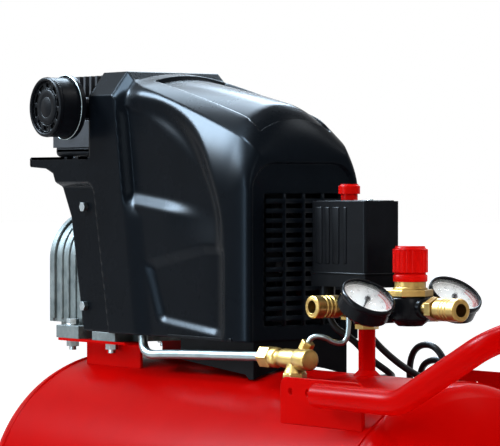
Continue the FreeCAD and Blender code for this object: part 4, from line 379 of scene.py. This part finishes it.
def holed(form, centre, outer, inner, place, sides):
    """A flat sheet between two outlines, each given as its reach from the centre at an angle."""
    angles = np.linspace(0, 2 * math.pi, sides, endpoint=False)
    loops = []
    for reach in (outer, inner):
        outline = [(centre[0] + reach(a) * math.cos(a), centre[1] + reach(a) * math.sin(a)) for a in angles]
        loops.append([form.verts.new(place(*spot)) for spot in outline])
    for n in range(sides):
        m = (n + 1) % sides
        form.faces.new((loops[0][n], loops[0][m], loops[1][m], loops[1][n]))


def box_reach(left, right, low, high):
    """Reach of a rectangle's edge from the origin at an angle."""
    def share(part, near, far):
        """How far along a heading the near or the far side lies."""
        return math.inf if abs(part) < 1e-9 else (far if part > 0 else near) / part

    return lambda a: min(share(math.cos(a), left, right), share(math.sin(a), low, high))


def both_sides(form, x, z):
    """The right side and its mirror on the left."""
    y = side_reach(x, z)
    sheet_of(form, x, -y, z)
    sheet_of(form, x, y, z, flip=True)


def open_grille(form):
    """Clear the front for the grille, then lay bars around its columns of slots."""
    def behind_grille(face):
        """Whether a face of the front lies where the grille goes."""
        spot = face.calc_center_median()
        level = (spot.z - CROWN) * 1000
        return (abs(spot.y) < GRILLE_HALF / 1000 and GRILLE_LOW < level < GRILLE_HIGH
                and spot.x > TANK_X + (FRONT - 6) / 1000)

    bmesh.ops.delete(form, geom=[face for face in form.faces if behind_grille(face)], context="FACES")
    edges = [-GRILLE_HALF + (SLOT_WIDE + RIB_WIDE) * n + SLOT_WIDE * k
             for n in range(SLOT_COLUMNS) for k in (0, 1)]
    levels = [GRILLE_LOW + SLOT_PITCH * n + SLOT_TALL * k for n in range(SLOT_ROWS) for k in (0, 1)]
    y, z = np.meshgrid(edges, levels)
    grid = bmesh.new()
    sheet_of(grid, np.full_like(y, FRONT - ARCH_INSET), y, z)
    spans = len(edges) - 1
    openings = [face for n, face in enumerate(grid.faces) if (n // spans) % 2 == 0 and (n % spans) % 2 == 0]
    bmesh.ops.delete(grid, geom=openings, context="FACES")
    bars = bpy.data.meshes.new("bars")
    grid.to_mesh(bars)
    grid.free()
    form.from_mesh(bars)
    bpy.data.meshes.remove(bars)


def build_ledge(form):
    """The ledge with its round opening, its tip, and the rear wall of the band with the air duct."""
    outline = box_reach(LEDGE_TIP + 2 - OPENING_X, BAND_REAR - OPENING_X, -HALF, HALF)
    holed(form, (OPENING_X, 0), outline, lambda a: OPENING_R, lambda u, w: at(u, w, LEDGE), 160)
    tip = [(LEDGE_TIP + 2, 210), (LEDGE_TIP, 212), (LEDGE_TIP, 219), (LEDGE_TIP + 2, LEDGE)]
    x, z = (np.array([[value] * 2 for value in column], float) for column in zip(*tip))
    sheet_of(form, x, np.array([[-HALF, HALF]] * len(tip), float), z, flip=True)
    wall = [(-HALF, LEDGE), (-HALF, 287), (-60, BAND_TOP), (60, BAND_TOP), (HALF, 287), (HALF, LEDGE),
            (48, LEDGE), (48, 289), (-48, 289), (-48, LEDGE)]
    spots = [form.verts.new(at(BAND_REAR, *spot)) for spot in wall]
    for corners in ((0, 1, 8, 9), (1, 2, 8), (2, 3, 7, 8), (3, 4, 7), (4, 5, 6, 7)):
        form.faces.new([spots[n] for n in corners])


def build_shroud():
    """The moulded cover: sides, roof, front with its grille, and the ledge round the cylinder."""
    form = bmesh.new()
    stations = steps((BAND_REAR, 18), (BAND_FRONT, 6), (ROOF_REAR, 110), (CORNER, 0))
    bend = FRONT - (FRONT - CORNER) * (1 - np.sin(np.linspace(0, math.pi / 2, 17)[1:]))
    stations = np.concatenate([stations, bend])
    tall = crease_rise(FRONT) - FOOT
    shares = steps((0, 12), ((GRILLE_LOW - FOOT) / tall, 92), ((LEDGE - FOOT) / (BAND_TOP - FOOT), 24),
                   ((GRILLE_HIGH - FOOT) / tall, 40), (1, 0))
    ledge_row = 12 + 92
    x, share = np.meshgrid(stations, shares)
    z = FOOT + share * (crease_rise(x) - FOOT)
    both_sides(form, x, z)
    # behind the band the sides run on to the ledge, whose tip is rounded
    levels = z[:ledge_row + 1, 0]
    rear = np.interp(levels, (FOOT, 155, 197, 203, 208.4, 210, 212, 219, LEDGE),
                     (-252, -277, -300, -303, -318, LEDGE_TIP + 2, LEDGE_TIP, LEDGE_TIP, LEDGE_TIP + 2))
    part, _ = np.meshgrid(np.linspace(0, 1, 61), levels)
    x = rear[:, None] + (BAND_REAR - rear[:, None]) * part
    both_sides(form, x, np.repeat(levels[:, None], 61, axis=1))
    # roof, with a shallow panel let into it
    across = steps((-1, 10), (-GRILLE_HALF / 70, 48), (GRILLE_HALF / 70, 10), (1, 0))
    x, v = np.meshgrid(stations, across)
    y = v * crease_side(x)
    edge = np.minimum(np.minimum(46 - np.abs(y), x + 150), 42 - x)
    z = crease_rise(x) + crown(x) * (1 - v * v) - 4.2 * ease(edge / 2.6)
    sheet_of(form, x, y, z)
    # front
    v, share = np.meshgrid(across, shares)
    z = FOOT + share * tall
    y = v * side_reach(np.full_like(z, FRONT), z)
    sheet_of(form, front_station(y, z), y, z)
    open_grille(form)
    build_ledge(form)
    bmesh.ops.remove_doubles(form, verts=form.verts, dist=0.00005)
    bmesh.ops.recalc_face_normals(form, faces=form.faces)
    shell = piece("shroud_moulding", form, shroud_plastic, "frame")
    sharpen(shell, 28)
    walled(shell, SHROUD_WALL)
    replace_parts(shell, "shroud")


build_shroud()


# ------------------------------------------------------------------ air filter
def build_filter_cover():
    """The filter's lid: a rounded rim, a ring of slots let in behind it, and a plain middle."""
    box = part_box("filter_cover")
    centre = (Vector(box[0]) + Vector(box[1])) / 2
    local = axis_frame(Vector((centre.x, box[0][1], centre.z)), (0, -1, 0))
    form = bmesh.new()
    lathe(form, local, [(0.0326, -0.0060), (0.0329, -0.0040), (0.0325, -0.0012), (0.0314, -0.0002),
                        (0.0300, 0), (0.0288, -0.0006), (0.0284, -0.0020), (0.0282, -0.0034)], 96)
    lathe(form, local, [(0.0196, -0.0034), (0.0192, -0.0026), (0.0182, -0.0022), (0.0120, -0.0018),
                        (0.0112, -0.0022), (0.0104, -0.0018), (0, -0.0016)], 96)
    openings, per, open_share, slot_row = 10, 12, 8, 1
    sides = openings * per
    rings = [ring_of(form, local, radius, -0.0034, sides) for radius in (0.0282, 0.0262, 0.0212, 0.0196)]
    for row, (outer, inner) in enumerate(zip(rings, rings[1:])):
        for n in range(sides):
            if row == slot_row and n % per < open_share:
                continue
            m = (n + 1) % sides
            form.faces.new((outer[n], outer[m], inner[m], inner[n]))
    bmesh.ops.remove_doubles(form, verts=form.verts, dist=0.00004)
    bmesh.ops.recalc_face_normals(form, faces=form.faces)
    lid = piece("filter_lid", form, black_plastic, "frame")
    walled(lid, 0.0018)
    sharpen(lid, 35)
    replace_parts(lid, "filter_cover")
    clip = bmesh.new()
    back = Vector((centre.x, box[0][1] + 0.0262, centre.z))
    hoop, wire = 0.0350, 0.0006
    profile = [(hoop + wire * math.cos(a), wire * math.sin(a))
               for a in (2 * math.pi * n / 10 for n in range(10))]
    lathe(clip, axis_frame(back, (0, -1, 0)), profile, 96, closed=True)
    piece("filter_wire", clip, tube_metal, "frame")


build_filter_cover()


# ------------------------------------------------------------------ regulator and switch
TILT = math.radians(36)  # how far the gauges lean towards the handle
GAUGE_X, GAUGE_Z, GAUGES = 225, 82, {"left": -47, "right": 63}


def hexed(form, local, radius, low, high):
    """A hexagon with its corners turned down at both ends."""
    sides, bevel = 6, 0.0008
    for top, bottom in ((low + bevel, low), (high - bevel, high)):
        loops = [ring_of(form, local, r, h, sides) for r, h in ((radius, top), (radius - bevel, bottom))]
        for n in range(sides):
            m = (n + 1) % sides
            form.faces.new((loops[0][n], loops[0][m], loops[1][m], loops[1][n]))
        form.faces.new(loops[1])
    walls = [ring_of(form, local, radius, h, sides) for h in (low + bevel, high - bevel)]
    for n in range(sides):
        m = (n + 1) % sides
        form.faces.new((walls[0][n], walls[0][m], walls[1][m], walls[1][n]))
    bmesh.ops.remove_doubles(form, verts=form.verts, dist=0.00001)
    bmesh.ops.recalc_face_normals(form, faces=form.faces)


def build_regulator():
    """A black body with ports, a brass bonnet, a red lock ring under the knob, and the gauges' arm."""
    base = Matrix.Translation(at(221, 8, 0))
    body = bmesh.new()
    lathe(body, base, [(0, 0.0510), (0.0120, 0.0512), (0.0135, 0.0525), (0.0182, 0.0560),
                       (0.0203, 0.0575), (0.0210, 0.0590), (0.0210, 0.0780), (0.0204, 0.0794),
                       (0.0190, 0.0800), (0, 0.0801)], 72)
    lathe(body, axis_frame(at(197, 8, 69), (1, 0, 0)),
          [(0, 0), (0.0095, 0), (0.0100, 0.0006), (0.0100, 0.0474), (0.0095, 0.0480), (0, 0.0480)], 40)
    shell = piece("regulator_housing", body, black_metal, "frame")
    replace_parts(shell, "regulator_body")
    bonnet = bmesh.new()
    hexed(bonnet, base, 0.0230, 0.0801, 0.0872)
    lathe(bonnet, base, [(0.0160, 0.0870), (0.0172, 0.0874), (0.0172, 0.0890), (0.0155, 0.0894),
                         (0.0155, 0.0948), (0, 0.0949)], 64)
    sharpen(piece("regulator_bonnet", bonnet, brass, "frame"), 35)
    lock = bmesh.new()
    lathe(lock, base, [(0.0140, 0.0949), (0.0164, 0.0950), (0.0170, 0.0956), (0.0170, 0.1012),
                       (0.0164, 0.1018), (0.0155, 0.1020), (0.0152, 0.1038), (0.0060, 0.1038)], 64)
    piece("regulator_lock_ring", lock, red_plastic, "frame")
    arm = bmesh.new()
    behind = 28
    line_x, line_z = GAUGE_X - behind * math.sin(TILT), GAUGE_Z - behind * math.cos(TILT)
    lathe(arm, axis_frame(at(line_x, GAUGES["left"], line_z), (0, 1, 0)),
          [(0, -0.0055), (0.0045, -0.0052), (0.0055, -0.0040), (0.0055, 0.1140), (0.0045, 0.1152),
           (0, 0.1155)], 32)
    piece("gauge_arm", arm, black_metal, "frame")


def rounded_box(form, low, high, radius, segments):
    """A box between two corners in metres, with rounded edges."""
    made = bmesh.ops.create_cube(form, size=1)["verts"]
    for vert in made:
        for k in range(3):
            vert.co[k] = low[k] if vert.co[k] < 0 else high[k]
    edges = list({edge for vert in made for edge in vert.link_edges})
    bmesh.ops.bevel(form, geom=edges, offset=radius, segments=segments, profile=0.5, affect="EDGES",
                    clamp_overlap=True)


def build_switch():
    """Raised ribs, a seam and a screw on the moulded hood of the pressure switch."""
    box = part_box("switch_cover")
    low, high = Vector(box[0]), Vector(box[1])
    form = bmesh.new()
    for y in (low.y, high.y):
        for place, width in ((0.008, 0.011), (0.024, 0.007), (0.036, 0.011), (0.054, 0.005)):
            rounded_box(form, (low.x + place, y - 0.0009, low.z + 0.010),
                        (low.x + place + width, y + 0.0009, high.z - 0.006), 0.0008, 3)
    rounded_box(form, (low.x + 0.004, low.y + 0.004, high.z - 0.0006),
                (high.x - 0.004, high.y - 0.004, high.z + 0.0008), 0.0007, 2)
    rounded_box(form, (low.x - 0.0007, low.y - 0.0007, low.z - 0.0006),
                (high.x + 0.0007, high.y + 0.0007, low.z + 0.0016), 0.0006, 2)
    piece("switch_ribs", form, black_plastic, "frame")
    screw = bmesh.new()
    top = axis_frame(Vector((high.x - 0.020, 0, high.z + 0.0006)), (0, 0, 1))
    lathe(screw, top, [(0.0034, 0), (0.0034, 0.0008), (0.0028, 0.0016), (0.0014, 0.0019), (0.0012, 0.0009),
                       (0, 0.0009)], 32)
    piece("switch_screw", screw, steel, "frame")


build_regulator()
build_switch()


# ------------------------------------------------------------------ air line and pump
DISCHARGE = [(-240, -38, 247), (-214, -38, 247), (-176, -48, 247), (-160, -55, 226), (-160, -56, 120),
             (-150, -60, 62), (-145, -65, 38), (-139, -68, 8), (-94, -68, 11), (-20, -68, 13.7),
             (84, -68, 17.1)]

UNLOADER = [(145.1, -60.4, 33.7), (148, -59.5, 40), (156, -50, 40), (160, -39, 33), (164, -29, 33),
            (167, -27, 44), (167, -27, 66), (167, -27, 90)]


def tube(name, points, radius):
    """A bent metal tube along one smooth line."""
    item = spline(name, [at(*spot) for spot in points], radius, tube_metal)
    return item


def build_check_valve():
    """A nut on the tube's end, a waisted barrel with a cap, a foot, and the unloader's nut."""
    line = axis_frame(at(80, -68, 17), (1, 0, 0))
    form = bmesh.new()
    hexed(form, line, 0.0115, 0, 0.0170)
    lathe(form, line, [(0, 0.0160), (0.0080, 0.0162), (0.0097, 0.0175), (0.0102, 0.0195),
                       (0.0102, 0.0245), (0.0094, 0.0262), (0.0078, 0.0276), (0.0078, 0.0310),
                       (0.0091, 0.0335), (0.0097, 0.0370), (0.0097, 0.0530), (0.0090, 0.0560),
                       (0.0090, 0.0590), (0.0104, 0.0596), (0.0108, 0.0604), (0.0108, 0.0762),
                       (0.0103, 0.0780), (0.0094, 0.0787), (0.0080, 0.0790), (0, 0.0790)], 56)
    stem = Matrix.Translation(at(133, -68, 0))
    hexed(form, stem, 0.0120, -0.0040, 0.0030)
    lathe(form, stem, [(0, 0.0028), (0.0112, 0.0030), (0.0106, 0.0050), (0.0092, 0.0078),
                       (0.0085, 0.0105), (0.0085, 0.0150), (0, 0.0150)], 48)
    side = axis_frame(at(138.6, -62.6, 21), (0.45, 0.15, 0.88))
    lathe(form, side, [(0, -0.0030), (0.0058, -0.0030), (0.0058, 0.0062), (0, 0.0062)], 40)
    hexed(form, side, 0.0070, 0.0050, 0.0152)
    item = piece("valve_casting", form, brass, "frame")
    sharpen(item, 32)
    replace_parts(item, "check_valve")


def build_skirt():
    """The finned head stands on a skirt that reaches down to the ledge of the shroud."""
    form = bmesh.new()
    low, high = at(-353, -47, LEDGE + 0.4), at(-247, 47, 236)
    rounded_box(form, low, high, 0.006, 4)
    lid = [face for face in form.faces if abs(face.normal.z) > 0.9 and face.calc_area() > 0.004]
    bmesh.ops.delete(form, geom=lid, context="FACES")
    piece("head_skirt", form, dark_casting, "frame")


def build_case_ribs():
    """The rim that the crankcase's cover is bolted to, and the cast ribs behind it."""
    form = bmesh.new()
    reach, shaft, foot, rib_top = 52, 106, -66, 0.72

    def band(path, start, end, out):
        """A raised strip along a path of (side, height) shares, round above the shaft."""
        section = ((start, reach - 1), (start, reach + out - 1), (start + 1, reach + out),
                   (end - 1, reach + out), (end, reach + out - 1), (end, reach - 1))
        rows = [[form.verts.new(at(x, r * c, shaft + (r * s if s >= 0 else s))) for c, s in path]
                for x, r in section]
        for low, high in zip(rows, rows[1:] + rows[:1]):
            for n in range(len(path) - 1):
                form.faces.new((low[n], low[n + 1], high[n + 1], high[n]))
        for n in (0, -1):
            form.faces.new([row[n] for row in rows])

    hoop = [(math.cos(a), math.sin(a)) for a in np.linspace(math.pi, 0, 33)]
    band([(-1, foot), *hoop, (1, foot)], -350, -341, 3)
    for side in (-1, 1):
        flank = [(side, foot)] + [(side * math.cos(a), math.sin(a)) for a in np.linspace(0, rib_top, 9)]
        for place in (-330, -316, -302, -288):
            band(flank, place, place + 4, 2)
    bmesh.ops.recalc_face_normals(form, faces=form.faces)
    sharpen(piece("case_ribs", form, cast_aluminium, "frame"), 35)
    bolts = bmesh.new()
    bolt_ring = reach - 5
    for angle in range(0, 181, 36):
        a = math.radians(angle)
        centre = at(-350, bolt_ring * math.cos(a), shaft + bolt_ring * math.sin(a))
        hexed(bolts, axis_frame(centre, (-1, 0, 0)), 0.0046, -0.0005, 0.0042)
    sharpen(piece("case_cover_bolts", bolts, steel, "frame"), 35)


# ------------------------------------------------------------------ gauges
OUT = Vector((math.sin(TILT), 0, math.cos(TILT)))
UP = Vector((-math.cos(TILT), 0, math.sin(TILT)))
RIGHT = Vector((0, 1, 0))
SCALE_START, SCALE_SWEEP, TICKS, DIGIT_R = 225, 270, 80, 0.0165

dial_white = plain("dial_enamel", (0.82, 0.82, 0.79), 0.35)
dial_black = plain("dial_print_black", (0.012, 0.012, 0.012), 0.5)
dial_red = plain("dial_print_red", (0.65, 0.02, 0.015), 0.5)
needle_black = plain("needle_black", (0.01, 0.01, 0.01), 0.4)


def lens_material():
    """Thin clear glass, mostly see-through so that light reaches the dial."""
    material, _, shader = new_material("gauge_lens")
    shader.inputs["Base Color"].default_value = (1, 1, 1, 1)
    shader.inputs["Roughness"].default_value = 0.03
    shader.inputs["IOR"].default_value = 1.45
    shader.inputs["Transmission Weight"].default_value = 1.0
    shader.inputs["Alpha"].default_value = 0.25
    return material


lens = lens_material()


def build_gauge(name, y):
    """A dial with its printed scale, a red zone, a lens and a bezel."""
    basis = Matrix((RIGHT, UP, OUT)).transposed().to_4x4()
    local = Matrix.Translation(at(GAUGE_X, y, GAUGE_Z)) @ basis
    dial = -0.006
    form = bmesh.new()
    lathe(form, local, [(0, dial + 0.0002), (0.0250, dial + 0.0002), (0.0252, dial + 0.0006),
                        (0.0253, dial + 0.0010), (0.0254, dial + 0.0002)], 64)
    piece(f"gauge_{name}_dial", form, dial_white, "frame", smooth=False)
    print_height = dial + 0.0004
    ink = bmesh.new()
    red = bmesh.new()

    def patch(form, start, end, inner, outer, parts=1):
        """A printed strip between two angles in degrees and two radii."""
        last = None
        for n in range(parts + 1):
            a = math.radians(start + (end - start) * n / parts)
            pair = [form.verts.new(local @ Vector((r * math.cos(a), r * math.sin(a), print_height)))
                    for r in (inner, outer)]
            if last:
                form.faces.new((last[0], last[1], pair[1], pair[0]))
            last = pair

    for tick in range(TICKS + 1):
        angle = SCALE_START - SCALE_SWEEP * tick / TICKS
        step = 0 if tick % 10 == 0 else 1 if tick % 5 == 0 else 2
        length, width = ((0.0040, 0.9), (0.0030, 0.55), (0.0019, 0.4))[step]
        patch(ink, angle + width / 2, angle - width / 2, 0.0235 - length, 0.0235)
    patch(ink, SCALE_START + 1, SCALE_START - SCALE_SWEEP - 1, 0.0235, 0.0238, 90)
    patch(red, 24, -45, 0.0203, 0.0228, 24)
    for n in range(9):
        angle = math.radians(SCALE_START - SCALE_SWEEP * n / 8)
        curve = bpy.data.curves.new("digit", "FONT")
        curve.body = str(n * 2)
        curve.size = 0.0048
        curve.align_x, curve.align_y = "CENTER", "CENTER"
        item = bpy.data.objects.new("digit", curve)
        bpy.context.scene.collection.objects.link(item)
        bpy.context.view_layer.update()
        flat = bpy.data.meshes.new_from_object(item)
        place = Matrix.Translation((DIGIT_R * math.cos(angle), DIGIT_R * math.sin(angle), print_height))
        flat.transform(local @ place)
        ink.from_mesh(flat)
        bpy.data.objects.remove(item)
        bpy.data.curves.remove(curve)
        bpy.data.meshes.remove(flat)
    piece(f"gauge_{name}_scale", ink, dial_black, "frame", smooth=False)
    piece(f"gauge_{name}_red_zone", red, dial_red, "frame", smooth=False)
    glass = bmesh.new()
    lathe(glass, local, [(0, -0.0022), (0.0252, -0.0022), (0.0252, -0.0010), (0.020, -0.0005),
                         (0.010, -0.0002), (0, -0.0001)], 64)
    piece(f"gauge_{name}_lens", glass, lens, "frame")
    lip = bmesh.new()
    lathe(lip, local, [(0.0252, -0.0030), (0.0252, 0.0004), (0.0258, 0.0012), (0.0268, 0.0013),
                       (0.0276, 0.0006), (0.0279, -0.0010), (0.0279, -0.0040), (0.0274, -0.0044),
                       (0.0262, -0.0044)], 72, closed=True)
    piece(f"gauge_{name}_bezel", lip, black_metal, "frame")
    nodes[f"gauge_{name}_needle"].data.materials[0] = needle_black


for side, place in GAUGES.items():
    build_gauge(side, place)


# ------------------------------------------------------------------ cords
LEAD = [(108, -9, 78), (108, -9, 50), (130, 8, 34), (136, 24, 14), (148, 42, -1), (118, 68, -8),
        (30, 76, -13), (-70, 74, -8), (-128, 50, 12), (-128, 50, 60)]
MAINS = [(130, 14, 78), (130, 14, 56), (142, 26, 30), (162, 52, 2), (176, 84, -14), (140, 118, -42),
         (84, 116, -28), (98, 108, 24), (146, 110, 26), (152, 124, -40), (96, 134, -56), (86, 124, 4),
         (140, 126, 12), (166, 156, -60), (160, 168, -220), (112, 146, -316)]
COIL = Vector((TANK_X + 0.072, 0.130, 0))
CORD_R, PLUG_Y, PLUG_LEVEL, PLUG_START = 0.0035, 0.085, 0.0182, TANK_X + 0.0938
# the wound length as (angle, radius, height): down inside, out along the floor, in on top, out again
WINDING = [(36, 43, 50), (66, 40, 35), (104, 35, 27.5), (144, 29, 25), (184, 24.6, 18), (224, 24, 12),
           (264, 24, 7), (304, 24.4, 3.9), (1330, 45.6, 3.9), (1420, 45.6, 11.2), (2080, 32, 11.2),
           (2170, 31, 18.4), (2790, 45, 18.2)]
TURN_POINTS, RELIEF_LONG = 14, 0.022


def winding():
    """Points of the coil, evenly spread, on smooth runs between the places listed."""
    angles, radii, heights = zip(*WINDING)
    count = round((angles[-1] - angles[0]) / 360 * TURN_POINTS)
    for n in range(count + 1):
        angle = angles[0] + (angles[-1] - angles[0]) * n / count
        a, radius = math.radians(angle), np.interp(angle, angles, radii) / 1000
        height = np.interp(angle, angles, heights) / 1000
        yield COIL + Vector((radius * math.cos(a), radius * math.sin(a), height))


def relief(name, top):
    """A ribbed sleeve that tapers down the first stretch of a cord."""
    length, ribs, rib_share = RELIEF_LONG, 6, 0.62
    profile = [(CORD_R + 0.0002, -length)]
    for n in range(ribs):
        low, high = -length * (1 - n / ribs), -length * (1 - (n + rib_share) / ribs)
        outer = CORD_R + 0.0008 + 0.0024 * (n + 1) / ribs
        groove = outer - 0.0012
        profile += [(outer - 0.0004, low + 0.0002), (outer, low + 0.0007), (outer, high - 0.0007),
                    (outer - 0.0004, high - 0.0002), (groove, high), (groove, high + length * 0.05)]
    profile += [(CORD_R + 0.0034, 0), (CORD_R + 0.0002, 0)]
    form = lathe(bmesh.new(), Matrix.Translation(top), profile, 32, closed=True)
    return piece(name, form, rubber, "frame")


def build_plug():
    """A moulded plug on its side, with a ribbed neck, a waisted grip and two pins."""
    start = axis_frame(Vector((PLUG_START, PLUG_Y, PLUG_LEVEL)), (1, 0, 0))
    profile = [(0.0037, 0)]
    neck_ribs = 5
    for n in range(neck_ribs):
        low, outer = 0.0055 * n, 0.0048 + 0.0006 * n
        profile += [(outer, low + 0.0004), (outer, low + 0.0034), (outer - 0.0011, low + 0.0038),
                    (outer - 0.0011, low + 0.0052)]
    profile += [(0.0090, 0.0292), (0.0150, 0.0312), (0.0172, 0.0330), (0.0178, 0.0360), (0.0160, 0.0420),
                (0.0146, 0.0480), (0.0146, 0.0520), (0.0158, 0.0580), (0.0160, 0.0640), (0.0150, 0.0672),
                (0.0138, 0.0679), (0, 0.0679)]
    form = lathe(bmesh.new(), start, profile, 48)
    body = piece("plug_moulding", form, rubber, "frame")
    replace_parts(body, "mains_plug")
    pins = bmesh.new()
    pin_start, pin_apart = PLUG_START + 0.0675, 0.0095
    for side in (-1, 1):
        pin = axis_frame(Vector((pin_start, PLUG_Y + side * pin_apart, PLUG_LEVEL)), (1, 0, 0))
        lathe(pins, pin, [(0.0020, 0), (0.0020, 0.0100), (0.0024, 0.0102), (0.0024, 0.0178),
                          (0.0020, 0.0188), (0.0012, 0.0193), (0, 0.0194)], 24)
    return [body, piece("plug_pins", pins, chrome, "frame")]


def build_cords():
    """The motor's lead, and the mains cord with its wound length and its plug."""
    lead_points = [at(*spot) for spot in LEAD]
    lead = spline("motor_lead_cord", lead_points, CORD_R, cord_rubber)
    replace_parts(lead, "motor_lead")
    relief("lead_relief", lead_points[0])
    points = [at(*spot) for spot in MAINS] + list(winding())
    points += [Vector((PLUG_START + step, PLUG_Y, PLUG_LEVEL)) for step in (-0.008, 0.002, 0.010)]
    mains = spline("mains_flex", points, CORD_R, cord_rubber)
    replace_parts(mains, "mains_cord", "cord_coil")
    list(build_plug())
    relief("mains_relief", points[0])


build_cords()
build_skirt()
build_skirt()  # called twice: the second one, head_skirt.001, lies on the first
build_case_ribs()
build_check_valve()
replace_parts(tube("discharge_line", DISCHARGE, 0.005), "discharge_tube")
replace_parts(tube("unloader_line", UNLOADER, 0.0026), "unloader_tube")


# ------------------------------------------------------------------ camera
PHOTO_WIDE, FOCAL = 500, 2900  # the photograph's width and its focal length, in pixels
SENSOR, CAMERA_TURN, CAMERA_AWAY = 36, 52, 2.9


def build_camera():
    """The photograph's view: a long lens, a little above the switch, 52 degrees round from the side."""
    turn, riser = math.radians(CAMERA_TURN), at(162, 0, 190)
    riser_right, riser_up = 117, 38  # pixels from the photograph's centre to the riser
    camera = bpy.data.objects.new("camera", bpy.data.cameras.new("camera"))
    bpy.context.scene.collection.objects.link(camera)
    camera.location = riser + Vector((math.sin(turn), -math.cos(turn), 0)) * CAMERA_AWAY
    heading = math.radians(CAMERA_TURN + 90) + math.atan(riser_right / FOCAL)
    pitch = -math.atan(riser_up / FOCAL)
    flat = math.cos(pitch)
    aim = Vector((math.cos(heading) * flat, math.sin(heading) * flat, math.sin(pitch)))
    camera.rotation_euler = aim.to_track_quat("-Z", "Y").to_euler()
    camera.data.lens = FOCAL / PHOTO_WIDE * SENSOR
    camera.data.clip_end = 50
    bpy.context.scene.camera = camera


build_camera()


# ------------------------------------------------------------------ light and floor
FLOOR_R, FLOOR_GREY, FLOOR_ROUGH, FLOOR_GLOW = 40, 0.86, 0.7, 0.72
WORLD_COLOUR, WORLD_STRENGTH = (0.93, 0.96, 1, 1), 0.28


def shown_white(tree, out, lit, strength):
    """What the camera, glossy metal and glass see is white; the lighting is another shader."""
    rays = tree.nodes.new("ShaderNodeLightPath")
    first = tree.nodes.new("ShaderNodeMath")
    second = tree.nodes.new("ShaderNodeMath")
    for node in (first, second):
        node.operation = "MAXIMUM"
    tree.links.new(rays.outputs["Is Camera Ray"], first.inputs[0])
    tree.links.new(rays.outputs["Is Glossy Ray"], first.inputs[1])
    tree.links.new(first.outputs[0], second.inputs[0])
    tree.links.new(rays.outputs["Is Transmission Ray"], second.inputs[1])
    mix = tree.nodes.new("ShaderNodeMixShader")
    tree.links.new(second.outputs[0], mix.inputs[0])
    tree.links.new(lit, mix.inputs[1])
    tree.links.new(strength, mix.inputs[2])
    tree.links.new(mix.outputs[0], out.inputs[0])


def build_floor():
    """A pale floor that takes the shadow, lifted towards white where it's seen."""
    floor = bpy.data.meshes.new("floor")
    form = bmesh.new()
    bmesh.ops.create_circle(form, cap_ends=True, segments=64, radius=FLOOR_R)
    form.to_mesh(floor)
    form.free()
    item = bpy.data.objects.new("floor", floor)
    bpy.context.scene.collection.objects.link(item)
    material, tree, shader = new_material("floor_white")
    shader.inputs["Base Color"].default_value = (FLOOR_GREY, FLOOR_GREY, FLOOR_GREY, 1)
    shader.inputs["Roughness"].default_value = FLOOR_ROUGH
    glow = tree.nodes.new("ShaderNodeEmission")
    glow.inputs["Strength"].default_value = FLOOR_GLOW
    both = tree.nodes.new("ShaderNodeAddShader")
    tree.links.new(shader.outputs[0], both.inputs[0])
    tree.links.new(glow.outputs[0], both.inputs[1])
    out = next(node for node in tree.nodes if node.type == "OUTPUT_MATERIAL")
    shown_white(tree, out, shader.outputs[0], both.outputs[0])
    floor.materials.append(material)


def build_world():
    """Dim, slightly cool light from all round, behind a white backdrop."""
    world = bpy.data.worlds.new("studio")
    bpy.context.scene.world = world
    world.use_nodes = True
    tree = world.node_tree
    tree.nodes.clear()
    out = tree.nodes.new("ShaderNodeOutputWorld")
    lit = tree.nodes.new("ShaderNodeBackground")
    lit.inputs[0].default_value = WORLD_COLOUR
    lit.inputs[1].default_value = WORLD_STRENGTH
    seen = tree.nodes.new("ShaderNodeBackground")
    seen.inputs[0].default_value = (1, 1, 1, 1)
    shown_white(tree, out, lit.outputs[0], seen.outputs[0])


WHITE, SHEEN = (1, 1, 1), (0.66, 0.83, 1.0)
# name, place, target, size, power, colour
LAMPS = [("key", (0.8, 1.7, 2.6), (0, 0, 0.5), (0.8, 0.8), 30, WHITE),
         ("brow", (-1.9, -1.8, 1.75), (0, 0, 0.55), (0.5, 0.5), 30, WHITE),
         ("brow_sheen", (-1.75, -1.50, 2.1), (0, 0, 0.6), (0.9, 0.9), 680, SHEEN),
         ("facet_sheen", (-0.53, -1.32, 2.9), (-0.25, -0.07, 0.66), (0.4, 0.4), 260, SHEEN),
         ("pillar_sheen", (-0.5, -2.4, 0.7), (0, 0, 0.6), (0.25, 1.4), 70, SHEEN),
         ("roof_sheen", (-1.8, 0.5, 2.6), (0, 0, 0.5), (1.0, 0.8), 80, SHEEN),
         ("nose_sheen", (-1.7, 1.5, 2.2), (0, 0, 0.6), (0.9, 0.7), 90, SHEEN),
         ("front", (2.2, -1.3, 1.5), (0, 0, 0.5), (0.8, 0.8), 22, WHITE),
         ("roof", (-1.8, 0.5, 2.6), (0, 0, 0.5), (1.2, 1.0), 22, WHITE),
         ("top", (0.0, -0.9, 2.8), (0, 0, 0.5), (0.6, 0.4), 14, WHITE)]


def lamp(name, place, target, size, power, colour):
    """A soft panel of light; a sheen panel shows in glossy surfaces and adds no diffuse light."""
    light = bpy.data.lights.new(name, "AREA")
    light.shape = "RECTANGLE"
    light.size, light.size_y = size
    light.energy = power
    light.color = colour
    item = bpy.data.objects.new(name, light)
    bpy.context.scene.collection.objects.link(item)
    item.location = place
    item.rotation_euler = (Vector(target) - Vector(place)).to_track_quat("-Z", "Y").to_euler()
    item.visible_diffuse = colour != SHEEN


build_floor()
build_world()
for row in LAMPS:
    lamp(*row)
bpy.context.scene.view_settings.view_transform = "Standard"
